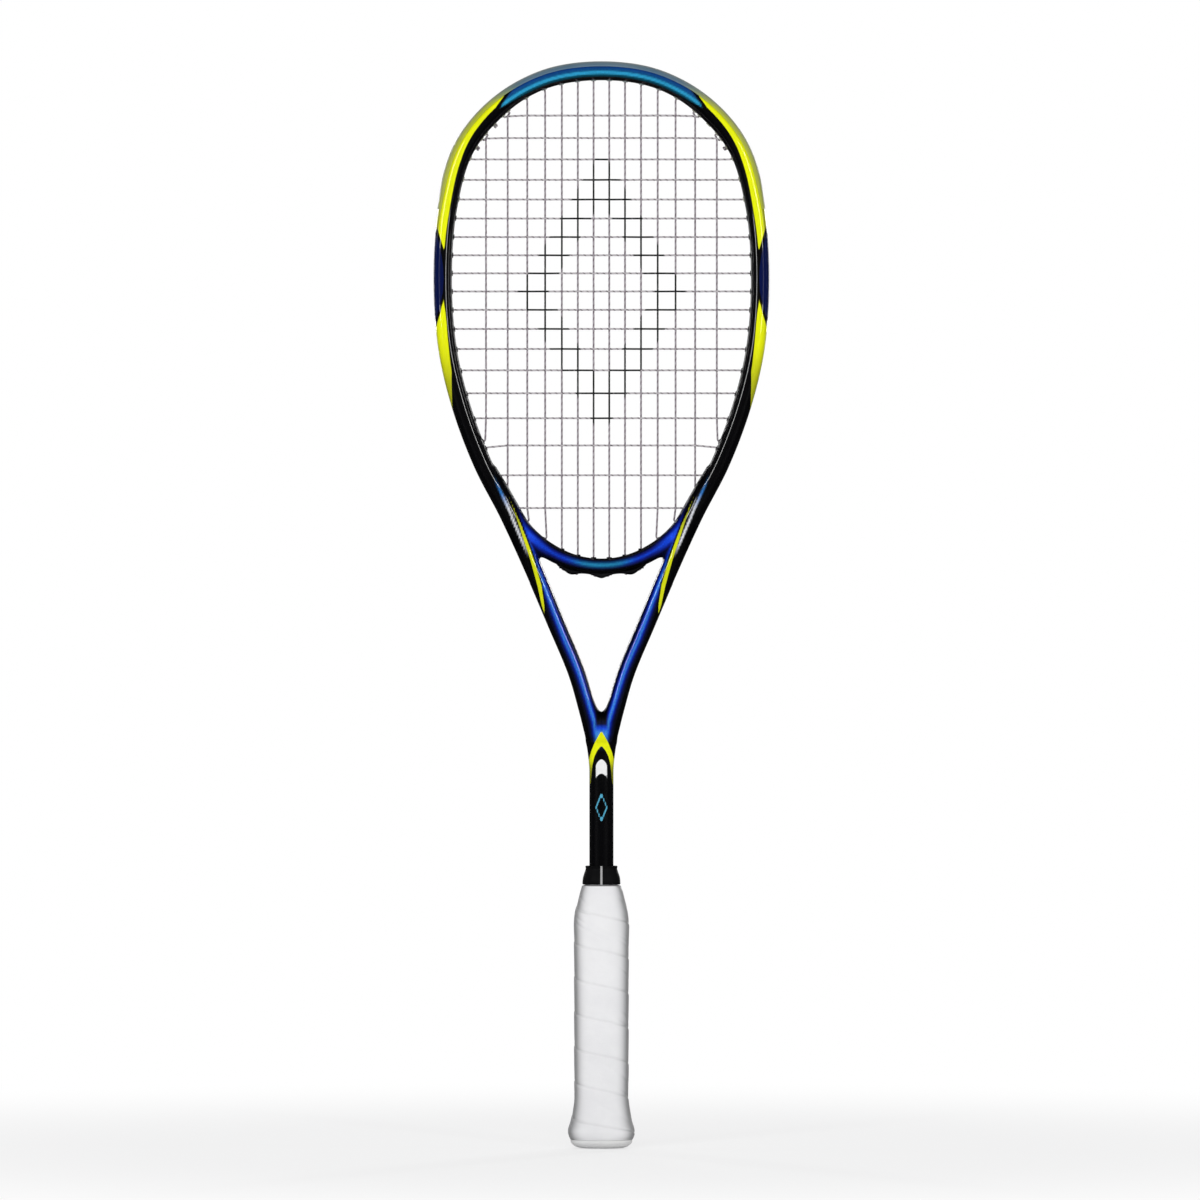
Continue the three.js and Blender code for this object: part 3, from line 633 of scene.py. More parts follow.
def roughMoulding():
    # Plain tubes run together in one skin, to be drawn onto the true surface
    sides = rough["sides"]
    section = sectionRing(tube["halfWidth"], tube["halfDepth"], tube["power"], sides)
    hoop = skin("hoop", alongRun(frameRun, np.linspace(1, bottom - 1, rough["hoopStops"]), section))
    section = sectionRing(rough["bridgeWidth"], moulding["bridgeDepth"], tube["power"], sides)
    stops = np.linspace(0, bridgeRun.length, rough["bridgeStops"])
    bridge = skin("bridge", alongRun(bridgeRun, stops, section, False))
    oval = sectionRing(moulding["shaftWidth"], moulding["shaftDepth"], moulding["shaftPower"], sides)
    heights = np.linspace(moulding["shaftFoot"], moulding["shaftTop"], rough["shaftStops"])
    shaft = skin("shaft", [np.stack([oval[:, 0] * flareAt(z), oval[:, 1], np.full(sides, z)], axis=1)
                           for z in heights])
    section = sectionRing(rough["webWidth"], rough["webDepth"], tube["power"], sides)
    heights = np.linspace(rough["webFrom"], moulding["crotchTo"] - rough["webShy"], rough["webStops"])
    web = skin("web", [np.column_stack([section, np.full(sides, z)]) for z in heights])
    whole = merged("frame_moulding", [outwardFaces(piece) for piece in (hoop, bridge, shaft, web)])
    remesh = whole.modifiers.new("remesh", "REMESH")
    remesh.mode = "VOXEL"
    remesh.voxel_size = moulding["voxel"] * mm
    remesh.use_smooth_shade = True
    return settled(whole)


def meshPoints(mesh):
    flat = np.empty(len(mesh.vertices) * 3)
    mesh.vertices.foreach_get("co", flat)
    return flat.reshape(-1, 3) / mm


def fitMoulding(thing):
    # Draws the points onto the true surface, after the first rounds have evened out the faces
    mesh = thing.data
    points = meshPoints(mesh)
    pairs = np.empty(len(mesh.edges) * 2, int)
    mesh.edges.foreach_get("vertices", pairs)
    pairs = pairs.reshape(-1, 2)
    count = np.bincount(pairs.ravel(), minlength=len(points))[:, None]
    for turn in range(fitting["rounds"]):
        if turn < fitting["evened"]:
            total = np.zeros_like(points)
            np.add.at(total, pairs[:, 0], points[pairs[:, 1]])
            np.add.at(total, pairs[:, 1], points[pairs[:, 0]])
            points = points * (1 - fitting["evenShare"]) + fitting["evenShare"] * total / count
        form = Moulding(points[:, 0], points[:, 2])
        away, slope = form.distance(points), form.slope(points)
        steepness = np.maximum((slope**2).sum(axis=1, keepdims=True), fitting["leastSlope"])
        move = away[:, None] * slope / steepness
        size = np.linalg.norm(move, axis=1, keepdims=True)
        points = points - move * np.minimum(1, fitting["longestMove"] / np.maximum(size, 1e-9))
    mesh.vertices.foreach_set("co", (points * mm).ravel())
    mesh.update()


def cutGroove(thing):
    # The channel round the outside of the head that the strips sit in
    low, high = bottom - downTo(moulding["grooveEnd"]), downTo(moulding["grooveEnd"])
    half, floor, reach = moulding["groove"], moulding["grooveFloor"], moulding["grooveReach"]
    section = np.array([(floor, -half), (floor, half), (reach, half), (reach, -half)])
    stops = np.linspace(low, high, moulding["grooveStops"])
    cutter = outwardFaces(skin("groove", alongRun(frameRun, stops, section)))
    cut = thing.modifiers.new("cut", "BOOLEAN")
    cut.operation = "DIFFERENCE"
    cut.solver = "MANIFOLD"
    cut.object = cutter
    settled(thing)
    bpy.data.objects.remove(cutter)


# Paint. An edge is a list of places along the tube from the crown, each with its offset outwards.

# shine, glint, sky and cyan are used only for painted highlights
paint = dict(
    black=(0.0008, 0.0008, 0.0015), navy=(0.0006, 0.0025, 0.032), lens=(0.0006, 0.005, 0.058),
    deepBlue=(0.003, 0.011, 0.26), blue=(0.006, 0.06, 0.27), steel=(0.004, 0.085, 0.24),
    bright=(0.007, 0.062, 0.72), cyan=(0.03, 0.38, 0.68), teal=(0.0, 0.055, 0.09),
    sky=(0.045, 0.24, 0.70), shine=(0.92, 0.94, 1.0), glint=(0.02, 0.27, 0.52),
    yellow=(0.90, 0.95, 0.003), sunny=(0.84, 0.90, 0.004), olive=(0.28, 0.29, 0.012),
    white=(0.92, 0.92, 0.92), mark=(0.09, 0.40, 0.58),
)
# A pair is where something fades in or out, but dullCorner is a place beside and up the frame
marks = dict(crownEnd=64.5, armFoot=(250, 262), armTop=(384, 396), armReach=30,
             glowEnd=(8, 24), endsFrom=(30, 44), endsTo=(52, 58), bridgeFoot=340,
             crotchHalf=3.6, crotchFoot=256, crotchTop=285, streakFrom=(372, 384), streakTo=(414, 424),
             borderTop=416, spillFoot=344, flashTop=420, flashFoot=300,
             fadingFlash=(380, 402), fadingArch=(236, 247), fadingOut=(3.0, 4.4), fadingSide=560,
             fadingLow=(476, 512), fadingFoot=430, dullCorner=(49, 388), dullReach=(9, 14),
             dullHalf=(8, 11), dullCrotch=270, dullRise=(10, 16), dullWall=(4.3, 5.1), dullFoot=396,
             flashBorder=1.1, flashSpill=0.5, streakHalf=0.6, archTop=264, archFoot=226,
             windowHalf=3.5, windowTop=245.3, windowFoot=236.4, topBow=3.6, footBow=3,
             lozengeZ=215, lozengeHalf=4.0, lozengeHeight=10.0, lozengeInside=0.85, lozengeLine=0.16,
             outside=-5)


def band(a, stops):
    places, values = zip(*stops)
    return np.interp(a, places, values)


def downA(z):
    return downTo(z) - crown


def outA(x):
    return outTo(x) - crown


def downBand(a, stops):
    # An edge whose places are given as heights down the side
    return band(a, [(downA(z), offset) for z, offset in stops])


def layered(amounts, stops):
    # Colours that follow one another over a measure
    places = [place for place, _colour in stops]
    shades = np.array([paint[colour] for _place, colour in stops])
    return np.stack([np.interp(amounts, places, shades[:, k]) for k in range(3)], axis=1)


def laid(under, over, share):
    return under * (1 - share[:, None]) + over * share[:, None]


class Places:
    # Where each point of the moulding lies along and across its tubes

    def __init__(self, mesh):
        x, y, self.z = meshPoints(mesh).T
        self.side = np.abs(x)
        form = Moulding(x, self.z)
        own, _other, bridge, _shaft = form.parts(x, y, self.z)
        s = frameRun.settle(form.own, self.side, self.z)
        _along, self.out, self.height = offsetFrom(frameRun, s, self.side, self.z)
        self.along = s - crown
        s = bridgeRun.settle(form.bridge, self.side, self.z)
        _along, self.across, _height = offsetFrom(bridgeRun, s, self.side, self.z)
        self.onBridge = smoothstep(own - bridge, -0.6, 0.9)
        self.onHoop = 1 - self.onBridge


def crownCoat(at, coat):
    # A cyan line under the blue paint, drawn out to a point at each end; the cyan line is a painted highlight
    upper = band(at.along, [(outA(44), 9), (outA(52), 4.6), (outA(60), 1.2), (outA(64), -0.8)])
    lower = band(at.along, [(outA(48), -2.9), (outA(60), -2.2), (outA(64), -0.9)])
    sweep = layered(at.out - band(at.along, [(0, 0), (outA(64), -0.3)]), [
        (-2.9, "black"), (-2.2, "teal"), (-1.4, "teal"), (-0.8, "cyan"), (0.6, "cyan"), (1.2, "steel"),
        (3.4, "blue"), (5.6, "navy")])
    inside = smoothstep(np.minimum(upper - at.out, at.out - lower), -0.25, 0.45)
    return laid(coat, sweep, inside * (at.along < outA(marks["crownEnd"])))


def armCoat(at, coat):
    # A bright line down each arm between dark edges: a painted highlight on the blue paint, darkening towards
    # the edges
    centre = band(-at.height, [(-392, -4.4), (-380, -4.0), (-366, -2.8), (-349, -2.0), (-320, -0.8),
                               (-289, -1.4), (-268, -2.3), (-262, -1.6)])
    shade = layered(np.abs(at.out - centre), [
        (0.35, "sky"), (0.9, "bright"), (1.6, "deepBlue"), (2.6, "navy"), (4.6, "black")])
    inside = smoothstep(at.height, *marks["armFoot"]) * (1 - smoothstep(at.height, *marks["armTop"]))
    return laid(coat, shade, inside * (at.out < marks["armReach"]))


def bridgeCoat(at, coat):
    # A blue line along the bridge, paler in the middle and wider where it meets the arms; the pale middle is
    # a painted highlight
    beam = layered(np.abs(at.across - 0.2), [
        (0.2, "bright"), (1.2, "deepBlue"), (2.6, "navy"), (3.5, "black")])
    # glow is the painted highlight along the middle of the bridge
    glow = layered(np.abs(at.across - 0.4), [(0.4, "glint"), (1.1, "steel"), (2.4, "navy"), (3.4, "black")])
    ends = layered(np.abs(at.across - 0.2), [(1.2, "bright"), (2.6, "deepBlue"), (3.8, "navy")])
    beam = laid(beam, glow, 1 - smoothstep(at.side, *marks["glowEnd"]))
    nearEnds = smoothstep(at.side, *marks["endsFrom"]) * (1 - smoothstep(at.side, *marks["endsTo"]))
    beam = laid(beam, ends, nearEnds)
    return laid(coat, beam, at.onBridge * (at.height > marks["bridgeFoot"]))


def crotchCoat(at, coat, black):
    # Blue between the feet of the arms, where the arms' painted highlights run together, then the black shaft
    joinedHighlight = layered(at.z, [(262, "sky"), (264.8, "bright"), (267.5, "navy"), (270.5, "black")])
    inside = smoothstep(marks["crotchHalf"] - at.side, -1.4, 1.0)
    inside = inside * (at.z > marks["crotchFoot"]) * (at.z < marks["crotchTop"])
    return laid(laid(coat, joinedHighlight, inside), black, 1 - smoothstep(at.z, *marks["armFoot"]))


def streakHighlightCoat(at, coat):
    # A painted highlight: a pale line beside the flash, which turns blue upwards
    centre = band(-at.height, [(-424, -3.4), (-418, -2.4), (-405, -1.7), (-397, -1.1), (-385, -0.7),
                               (-374, -0.5)])
    inside = smoothstep(marks["streakHalf"] - np.abs(at.out - centre), -0.35, 0.3)
    inside = inside * smoothstep(at.height, *marks["streakFrom"])
    inside = inside * (1 - smoothstep(at.height, *marks["streakTo"]))
    shade = layered(at.height, [(384, "shine"), (402, "shine"), (412, "sky"), (420, "steel")])
    return laid(coat, shade, inside * at.onHoop)


# The crisp marks are kept as distances inside their edges, so that the finish can cut them sharply

def headPatches(at):
    # Yellow down the upper sides, and again below the lens
    tip, top = downA(566), downA(582)
    upperEdge = band(at.along, [
        (outA(55), 6.4), (outA(60), 3.2), (outA(66), 1.0), (downA(640), 0.2), (downA(624), -1.0),
        (downA(590), -1.5), (tip, -0.8)])
    lensEdge = band(at.along, [(top - 3, 30), (top, 5.4), (downA(574), 2.2), (tip, -0.8), (downA(558), -4)])
    upper = np.minimum(at.out - upperEdge, lensEdge - at.out)
    upper = np.where(at.along < outA(55), marks["outside"], upper)
    innerEdge = downBand(at.along, [
        (536, -0.4), (527, -1.3), (519, -1.5), (505, -1.0), (490, 0.0), (478, 3.0), (465, 6.5), (455, 12)])
    outerEdge = downBand(at.along, [(540, -4), (536, -0.5), (527, 2.0), (519, 5.2), (514, 30)])
    return np.maximum(upper, np.minimum(at.out - innerEdge, outerEdge - at.out))


def flashShape(at):
    # The long yellow flash of each arm: its centre line and its half width
    centre = downBand(at.along, [
        (410, -5.8), (397, -4.3), (384, -2.9), (371, -1.7), (355, 0.6), (341, 4.0), (335, 5.6)])
    half = downBand(at.along, [
        (414, -1.0), (409, 0.3), (400, 0.7), (384, 0.95), (371, 1.1), (355, 1.25), (344, 0.85), (336, -0.4)])
    return centre, half


def flashBorder(at, coat, black, centre, half):
    # Black round the flash and over the tube outside it
    outline = half - np.abs(at.out - centre) + marks["flashBorder"] * (half > 0)
    coat = laid(coat, black, smoothstep(outline, -0.2, 0.3) * (at.height < marks["borderTop"]))
    beyond = (at.height > marks["spillFoot"]) & (at.height < marks["flashTop"])
    beyond = beyond & (at.out > centre + marks["flashSpill"])
    return laid(coat, black, beyond * at.onHoop)


def lensShape(at):
    top = downA(582)
    edge = downBand(at.along, [
        (582, 7.0), (573, 3.6), (564, 1.0), (556, -0.4), (548, -0.8), (540, -0.2), (531, 2.2), (519, 7.0)])
    return np.where((at.along > top - 2) & (at.along < downA(517)), at.out - edge, marks["outside"])


def archShape(at):
    # A pointed arch on the shaft, over the window
    outer = band(-at.z, [(-263.5, 0), (-260, 2.0), (-256, 4.2), (-250, 6.6), (-244, 8.2), (-234, 9.4)])
    inner = band(-at.z, [(-254, 0), (-251, 2.6), (-247, 4.5), (-242, 5.7), (-236, 6.3), (-230, 6.9),
                         (-227, 9.4)])
    arch = np.minimum(np.minimum(outer - at.side, at.side - inner), marks["archTop"] - at.z)
    return np.where(at.z > marks["archFoot"], arch, marks["outside"])


def windowShape(at):
    bow = (at.side / marks["windowHalf"]) ** 2
    under = marks["windowTop"] - bow * marks["topBow"] - at.z
    above = at.z - marks["windowFoot"] + bow * marks["footBow"]
    return np.minimum(np.minimum(marks["windowHalf"] - at.side, under), above)


def lozengeShape(at):
    spread = at.side / marks["lozengeHalf"] + np.abs(at.z - marks["lozengeZ"]) / marks["lozengeHeight"]
    return 1 - np.abs(spread - marks["lozengeInside"]) / marks["lozengeLine"]


def fadedShare(at):
    # Where the yellow turns olive: up the flash, the arch's feet and the ends of the head's patches
    flash = 0.3 + 0.6 * smoothstep(at.height, *marks["fadingFlash"])
    flash = flash * (at.height < marks["flashTop"]) * (at.height > marks["flashFoot"])
    arch = 1 - smoothstep(at.z, *marks["fadingArch"])
    upper = 0.8 * smoothstep(at.out, *marks["fadingOut"]) * (at.height > marks["fadingSide"])
    lower = 1 - smoothstep(at.height, *marks["fadingLow"])
    lower = 0.7 * lower * (at.height > marks["fadingFoot"])
    return np.maximum.reduce([flash, arch, upper, lower])


def dullShare(at, lens):
    # Where the clear coat is thin: the bridge's corners, the crotch, the lenses and the inner wall
    x, z = marks["dullCorner"]
    corner = 1 - smoothstep(np.hypot(at.side - x, at.z - z), *marks["dullReach"])
    rise = np.abs(at.z - marks["dullCrotch"])
    crotch = (1 - smoothstep(at.side, *marks["dullHalf"])) * (1 - smoothstep(rise, *marks["dullRise"]))
    wall = smoothstep(-at.out, *marks["dullWall"]) * (at.height > marks["dullFoot"])
    return np.maximum.reduce([corner, crotch, 0.8 * (lens > 0), wall])


def paintMoulding(thing):
    mesh = thing.data
    at = Places(mesh)
    black = np.tile(paint["black"], (len(at.z), 1))
    centre, half = flashShape(at)
    coat = bridgeCoat(at, armCoat(at, crownCoat(at, black)))
    coat = crotchCoat(at, coat, black)
    coat = streakHighlightCoat(at, flashBorder(at, coat, black, centre, half))
    yellow = np.maximum(headPatches(at), half - np.abs(at.out - centre))
    yellow = np.where(at.onHoop > 0.5, yellow, marks["outside"])
    yellow = np.where(at.z < marks["archTop"] + 0.5, archShape(at), yellow)
    lens = lensShape(at)
    layers = dict(yellow=yellow, lens=lens, window=windowShape(at), mark=lozengeShape(at),
                  fading=fadedShare(at), dull=dullShare(at, lens))
    for name, values in layers.items():
        made = mesh.attributes.new(name, "FLOAT", "POINT")
        made.data.foreach_set("value", np.clip(values, -5, 5).astype(np.float32))
    made = mesh.attributes.new("coat", "FLOAT_COLOR", "POINT")
    made.data.foreach_set("color", np.column_stack([coat, np.ones(len(coat))]).astype(np.float32).ravel())


def smoothNormals(thing):
    # The moulded skin takes its shading from the form itself, the cut channel from its own faces
    mesh = thing.data
    points = meshPoints(mesh)
    form = Moulding(points[:, 0], points[:, 2])
    slope = form.slope(points, moulding["shadeStep"])
    slope /= np.linalg.norm(slope, axis=1, keepdims=True)
    corner = np.empty(len(mesh.loops), int)
    mesh.loops.foreach_get("vertex_index", corner)
    faceNormal = np.empty(len(mesh.polygons) * 3)
    mesh.polygons.foreach_get("normal", faceNormal)
    sizes = np.empty(len(mesh.polygons), int)
    mesh.polygons.foreach_get("loop_total", sizes)
    flat = np.repeat(faceNormal.reshape(-1, 3), sizes, axis=0)
    curved = slope[corner]
    agree = (flat * curved).sum(axis=1) > moulding["shadeMatch"]
    mesh.polygons.foreach_set("use_smooth", [True] * len(mesh.polygons))
    mesh.normals_split_custom_set(np.where(agree[:, None], curved, flat).tolist())


def framePaint():
    r = newFinish("framePaint", Roughness=0.4, Coat_Weight=1.0, Coat_Roughness=0.05, Specular_IOR_Level=0.08)
    spot = r.spot()
    flakes = r.noise(spot, 2600, 1, 0.4)
    cloud = r.noise(spot, 60, 3)
    coat = r.attribute("coat", "Color")
    sparkle = r.between(flakes, 0.35, 0.75, 0.82, 1.3)
    tone = r.sum("MULTIPLY", sparkle, r.between(cloud, 0.3, 0.7, 0.95, 1.05))
    shade = r.node("ShaderNodeVectorMath", {0: coat, "Scale": tone}, operation="SCALE").outputs[0]
    shade = r.blend(r.between(r.attribute("lens"), -0.15, 0.15), shade, (*paint["lens"], 1))
    yellowTone = r.mottle(cloud, paint["yellow"], paint["sunny"])
    yellowTone = r.blend(r.attribute("fading"), yellowTone, (*paint["olive"], 1))
    shade = r.blend(r.between(r.attribute("yellow"), -0.18, 0.18), shade, yellowTone)
    shade = r.blend(r.between(r.attribute("window"), -0.2, 0.2), shade, (*paint["white"], 1))
    shade = r.blend(r.between(r.attribute("mark"), 0.0, 0.4), shade, (*paint["mark"], 1))
    r.give("Base Color", shade)
    scuffs = r.noise(r.stretch(spot, (1, 1, 0.15)), 900, 3, 0.7)
    r.give("Roughness", r.between(scuffs, 0.45, 0.8, 0.36, 0.5))
    r.give("Metallic", r.between(r.axes(coat)[2], 0.05, 0.4, 0.0, 0.2))
    r.give("Coat Weight", r.between(r.attribute("dull"), 0.0, 1.0, 1.0, 0.0))
    r.give("Normal", r.bump(r.noise(spot, 420, 2), 0.06, 0.0004))
    return r.finish


def buildMoulding():
    thing = roughMoulding()
    fitMoulding(thing)
    cutGroove(thing)
    paintMoulding(thing)
    smoothNormals(thing)
    thing.data.materials.clear()
    thing.data.materials.append(framePaint())
    print("  moulding triangles", sum(len(p.vertices) - 2 for p in thing.data.polygons))
    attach(thing, "root")
    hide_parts("head_hoop", "right_throat_arm", "left_throat_arm", "throat_bridge", "shaft")


buildMoulding()

print("grommet strips")

strip = dict(bumperEnd=592, gap=0.6, endGap=6, hoopEnd=356, round=0.22, roundOver=28,
             seat=3.75, crest=7.2, lean=0.35, skinLine=7.6, taper=22, thinned=0.85,
             bumperStops=190, sideStops=150, sharp=40, showThroughDepth=(4.2, 8.2), showThroughHeight=(674, 656))
sleeve = dict(radius=1.7, lip=0.32, sides=12, shy=1.1, headReach=1.2, throatReach=0.4)
throat = dict(hump=2.3, humpReach=5, thick=1.0, halfDepth=3.0, past=4, power=3.2, sides=20, stops=120,
              rise=0.1, sunk=0.4, endShare=0.25, endReach=2, sharp=50)
# Half sections of the strips: offset outwards and depth
bumperHalf = [
    (3.25, 3.3), (5.95, 3.9), (5.72, 5.2), (5.2, 6.6), (4.6, 7.5), (3.75, 8.25), (3.85, 8.6), (4.8, 8.15),
    (5.7, 7.2), (6.45, 6.0), (7.0, 4.8), (7.2, 3.6), (7.15, 2.95), (6.8, 2.65), (4.05, 2.7),
]
stripHalf = [(3.25, 3.3), (5.5, 3.85), (5.5, 3.25), (4.05, 2.7)]


def barrelTree():
    r = newTree("barrels", dict(Radius=0.0017, Length=0.0106, Lip=0.0003, Sides=12))
    given = r.given
    sizes = {"Vertices": given["Sides"], "Radius": given["Radius"], "Depth": given["Length"]}
    body = r.node("GeometryNodeMeshCylinder", sizes)
    ringRadius = r.sum("SUBTRACT", given["Radius"], given["Lip"])
    ring = r.node("GeometryNodeCurvePrimitiveCircle", {"Resolution": given["Sides"], "Radius": ringRadius})
    bead = r.node("GeometryNodeCurvePrimitiveCircle", {"Resolution": 6, "Radius": given["Lip"]})
    lip = r.node("GeometryNodeCurveToMesh", {0: ring.outputs[0], 1: bead.outputs[0]})
    down = r.sum("MULTIPLY", given["Length"], -0.5)
    shift = r.node("ShaderNodeCombineXYZ", {"Z": down}).outputs[0]
    moved = r.node("GeometryNodeTransform", {0: lip.outputs[0], "Translation": shift})
    both = r.node("GeometryNodeJoinGeometry", {0: body.outputs[0]})
    r.tree.links.new(moved.outputs[0], both.inputs[0])
    axis = r.node("GeometryNodeInputNamedAttribute", {"Name": "axis"}, data_type="FLOAT_VECTOR").outputs[0]
    turn = r.node("FunctionNodeAlignRotationToVector", {"Vector": axis}, axis="Z").outputs[0]
    spread = r.node("GeometryNodeInstanceOnPoints", {
        "Points": given["Geometry"], "Instance": both.outputs[0], "Rotation": turn})
    return endTree(r, spread.outputs[0])


barrels = barrelTree()


def growBarrels(holes, reach, finish):
    # One sleeve for each hole, from the strip's base to just inside the head
    things = []
    for k, ends in enumerate(holes):
        way = (ends["outer"] - ends["inner"]) / np.linalg.norm(ends["outer"] - ends["inner"])
        start, end = ends["inner"] + way * sleeve["shy"], ends["outer"] - way * reach
        thing = meshFrom(f"sleeve{k}", [(start + end) / 2], [])
        made = thing.data.attributes.new("axis", "FLOAT_VECTOR", "POINT")
        made.data.foreach_set("vector", way)
        length = np.linalg.norm(end - start)
        things.append(grown(thing, barrels, Radius=sleeve["radius"] * mm, Length=length * mm,
                            Lip=sleeve["lip"] * mm, Sides=sleeve["sides"], Finish=finish))
    return things


def mirroredSection(half):
    return np.array([(n, y) for n, y in half] + [(n, -y) for n, y in half[::-1]])


def thinnedEnds(rings, section, places):
    # The outer side of a bumper thins towards its two ends
    outside = np.clip((section[:, 0] - strip["seat"]) / (strip["crest"] - strip["seat"]), 0, 1)
    outside *= section[:, 0] + strip["lean"] * np.abs(section[:, 1]) > strip["skinLine"]
    for s, ring in zip(places, rings):
        fromEnd = min(s - places[0], places[-1] - s)
        drop = strip["thinned"] * (1 - smoothstep(fromEnd, 0, strip["taper"])) * outside
        normal = frameRun.at(s)[2]
        ring[:, 0] -= normal[0] * drop
        ring[:, 2] -= normal[1] * drop
    return rings


def stripBody(name, half, low, high, stops, finish, ending=None):
    section, places = mirroredSection(half), np.linspace(low, high, stops)
    rings = alongRun(frameRun, places, section)
    if ending:
        rings = ending(rings, section, places)
    thing = outwardFaces(skin(name, rings))
    bevel = thing.modifiers.new("round", "BEVEL")
    bevel.width = strip["round"] * mm
    bevel.segments = 2
    bevel.limit_method = "ANGLE"
    bevel.angle_limit = math.radians(strip["roundOver"])
    settled(thing)
    outwardFaces(thing, strip["sharp"])
    thing.data.materials.append(finish)
    return thing


def bumperFinish():
    r = newFinish("bumperClear", Roughness=0.42, IOR=1.4, Transmission_Weight=0.15, Specular_IOR_Level=0.2)
    spot = r.spot()
    haze = r.noise(spot, 35, 3)
    scratch = r.noise(r.stretch(spot, (1, 4, 1)), 500, 4, 0.7)
    # Painted show-through: the clear plastic takes the colour of the frame's paint under it, blue-grey round
    # the crown and yellow down the sides, stronger towards its two faces
    _x, y, z = r.axes(spot)
    near, far = strip["showThroughDepth"]
    inner = r.between(r.sum("ABSOLUTE", y), near * mm, far * mm)
    top = r.blend(inner, (0.30, 0.36, 0.36, 1), (0.10, 0.19, 0.28, 1))
    flank = r.blend(inner, (0.44, 0.45, 0.34, 1), (0.50, 0.55, 0.05, 1))
    high, low = strip["showThroughHeight"]
    tint = r.blend(r.between(z, high * mm, low * mm), top, flank)
    tint = r.blend(r.between(haze, 0.3, 0.7, 0.0, 0.12), tint, (0.6, 0.62, 0.56, 1))
    r.give("Base Color", tint)
    r.give("Roughness", r.between(scratch, 0.4, 0.75, 0.3, 0.55))
    r.give("Normal", r.bump(scratch, 0.15, 0.0003))
    return r.finish


def grommetFinish():
    r = newFinish("grommetBlack", Roughness=0.5, Specular_IOR_Level=0.15)
    spot = r.spot()
    cloud = r.noise(spot, 80, 3)
    r.give("Base Color", r.mottle(cloud, (0.003, 0.003, 0.004), (0.007, 0.007, 0.008)))
    scratch = r.noise(r.stretch(spot, (1, 3, 1)), 700, 4, 0.7)
    r.give("Roughness", r.between(scratch, 0.4, 0.75, 0.38, 0.62))
    r.give("Normal", r.bump(scratch, 0.12, 0.0003))
    return r.finish


clearPlastic, blackPlastic = bumperFinish(), grommetFinish()
bumperStop = downTo(strip["bumperEnd"])
headHoles = [holeEnds(name, side) for side in (-1, 1) for name in holeAt]
cornerHoles = [lowEnds(3, side) for side in (-1, 1)]
bridgeHoles = [bridgeEnds(k, side) for side in (-1, 1) for k in range(3)]


def finishStrip(name, things, node):
    piece = merged(name, things)
    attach(piece, "root")
    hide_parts(node)


def buildBumper():
    start = 2 * crown - bumperStop
    body = stripBody("bumper", bumperHalf, start, bumperStop, strip["bumperStops"], clearPlastic, thinnedEnds)
    under = [h for h in headHoles if h["s"] < bumperStop]
    sleeves = growBarrels(under, sleeve["headReach"], clearPlastic)
    finishStrip("bumper_strip", [body, *sleeves], "head_bumper_strip")


def buildSideStrip(side, name, node):
    start, end = bumperStop + strip["gap"], downTo(strip["hoopEnd"]) - strip["endGap"]
    low, high = (start, end) if side > 0 else (2 * crown - end, 2 * crown - start)
    body = stripBody(name, stripHalf, low, high, strip["sideStops"], blackPlastic)
    own = [h for h in headHoles if h["s"] > bumperStop] + cornerHoles
    sleeves = growBarrels([h for h in own if h["side"] == side], sleeve["headReach"], blackPlastic)
    finishStrip(name, [body, *sleeves], node)


def buildThroatStrip():
    # A thin strip under the bridge that swells over each loop of the mains
    reach = mainX(2) + throat["past"]
    loops = [0, (mainX(1) + mainX(2)) / 2]
    corners = sectionRing(1, 1, throat["power"], throat["sides"])
    rings = []
    for x in np.linspace(-reach, reach, throat["stops"]):
        top = edgeHeight(bridgeBottom, x) - throat["rise"]
        swell = sum(math.exp(-(((abs(x) - c) / throat["humpReach"]) ** 2)) for c in loops)
        fade = min(1, throat["endShare"] + (reach - abs(x)) / throat["endReach"])
        thick = (throat["thick"] + throat["hump"] * swell + throat["sunk"]) * fade
        height = top - thick / 2 + throat["sunk"] + corners[:, 0] * thick / 2
        depth = corners[:, 1] * throat["halfDepth"]
        rings.append(np.stack([np.full(throat["sides"], x), depth, height], axis=1))
    body = outwardFaces(skin("throat", rings), throat["sharp"])
    body.data.materials.append(blackPlastic)
    sleeves = growBarrels(bridgeHoles, sleeve["throatReach"], blackPlastic)
    finishStrip("throat_strip", [body, *sleeves], "throat_grommet_strip")


buildBumper()
buildSideStrip(1, "right_strip", "right_grommet_strip")
buildSideStrip(-1, "left_strip", "left_grommet_strip")
buildThroatStrip()

print("strings")

gut = dict(sides=8, stepsPerCross=5, corner=1.1, straight=-0.94, share=0.45, loopStep=5, stripe=4.2,
           leastStep=0.02)
knot = dict(rise=0.05, size=0.36, length=0.55, steps=60, radius=0.45)
stencil = dict(height=540, halfWidth=54, halfHeight=92, inside=0.62, soft=0.015)


def stringTree():
    r = newTree("strings", dict(Radius=0.0006, Sides=8))
    given = r.given
    curve = r.node("GeometryNodeMeshToCurve", {0: given["Geometry"]}).outputs[0]
    length = r.node("GeometryNodeSplineParameter").outputs["Length"]
    curve = r.node("GeometryNodeStoreNamedAttribute", {0: curve, "Name": "along", "Value": length},
                   data_type="FLOAT", domain="POINT").outputs[0]
    sizes = {"Resolution": given["Sides"], "Radius": given["Radius"]}
    ring = r.node("GeometryNodeCurvePrimitiveCircle", sizes).outputs[0]
    where = r.node("GeometryNodeInputPosition").outputs[0]
    unit = r.node("ShaderNodeVectorMath", {0: where}, operation="NORMALIZE").outputs[0]
    ring = r.node("GeometryNodeStoreNamedAttribute", {0: ring, "Name": "around", "Value": unit},
                  data_type="FLOAT_VECTOR", domain="POINT").outputs[0]
    skinned = r.node("GeometryNodeCurveToMesh", {0: curve, 1: ring, "Fill Caps": True}).outputs[0]
    return endTree(r, skinned)


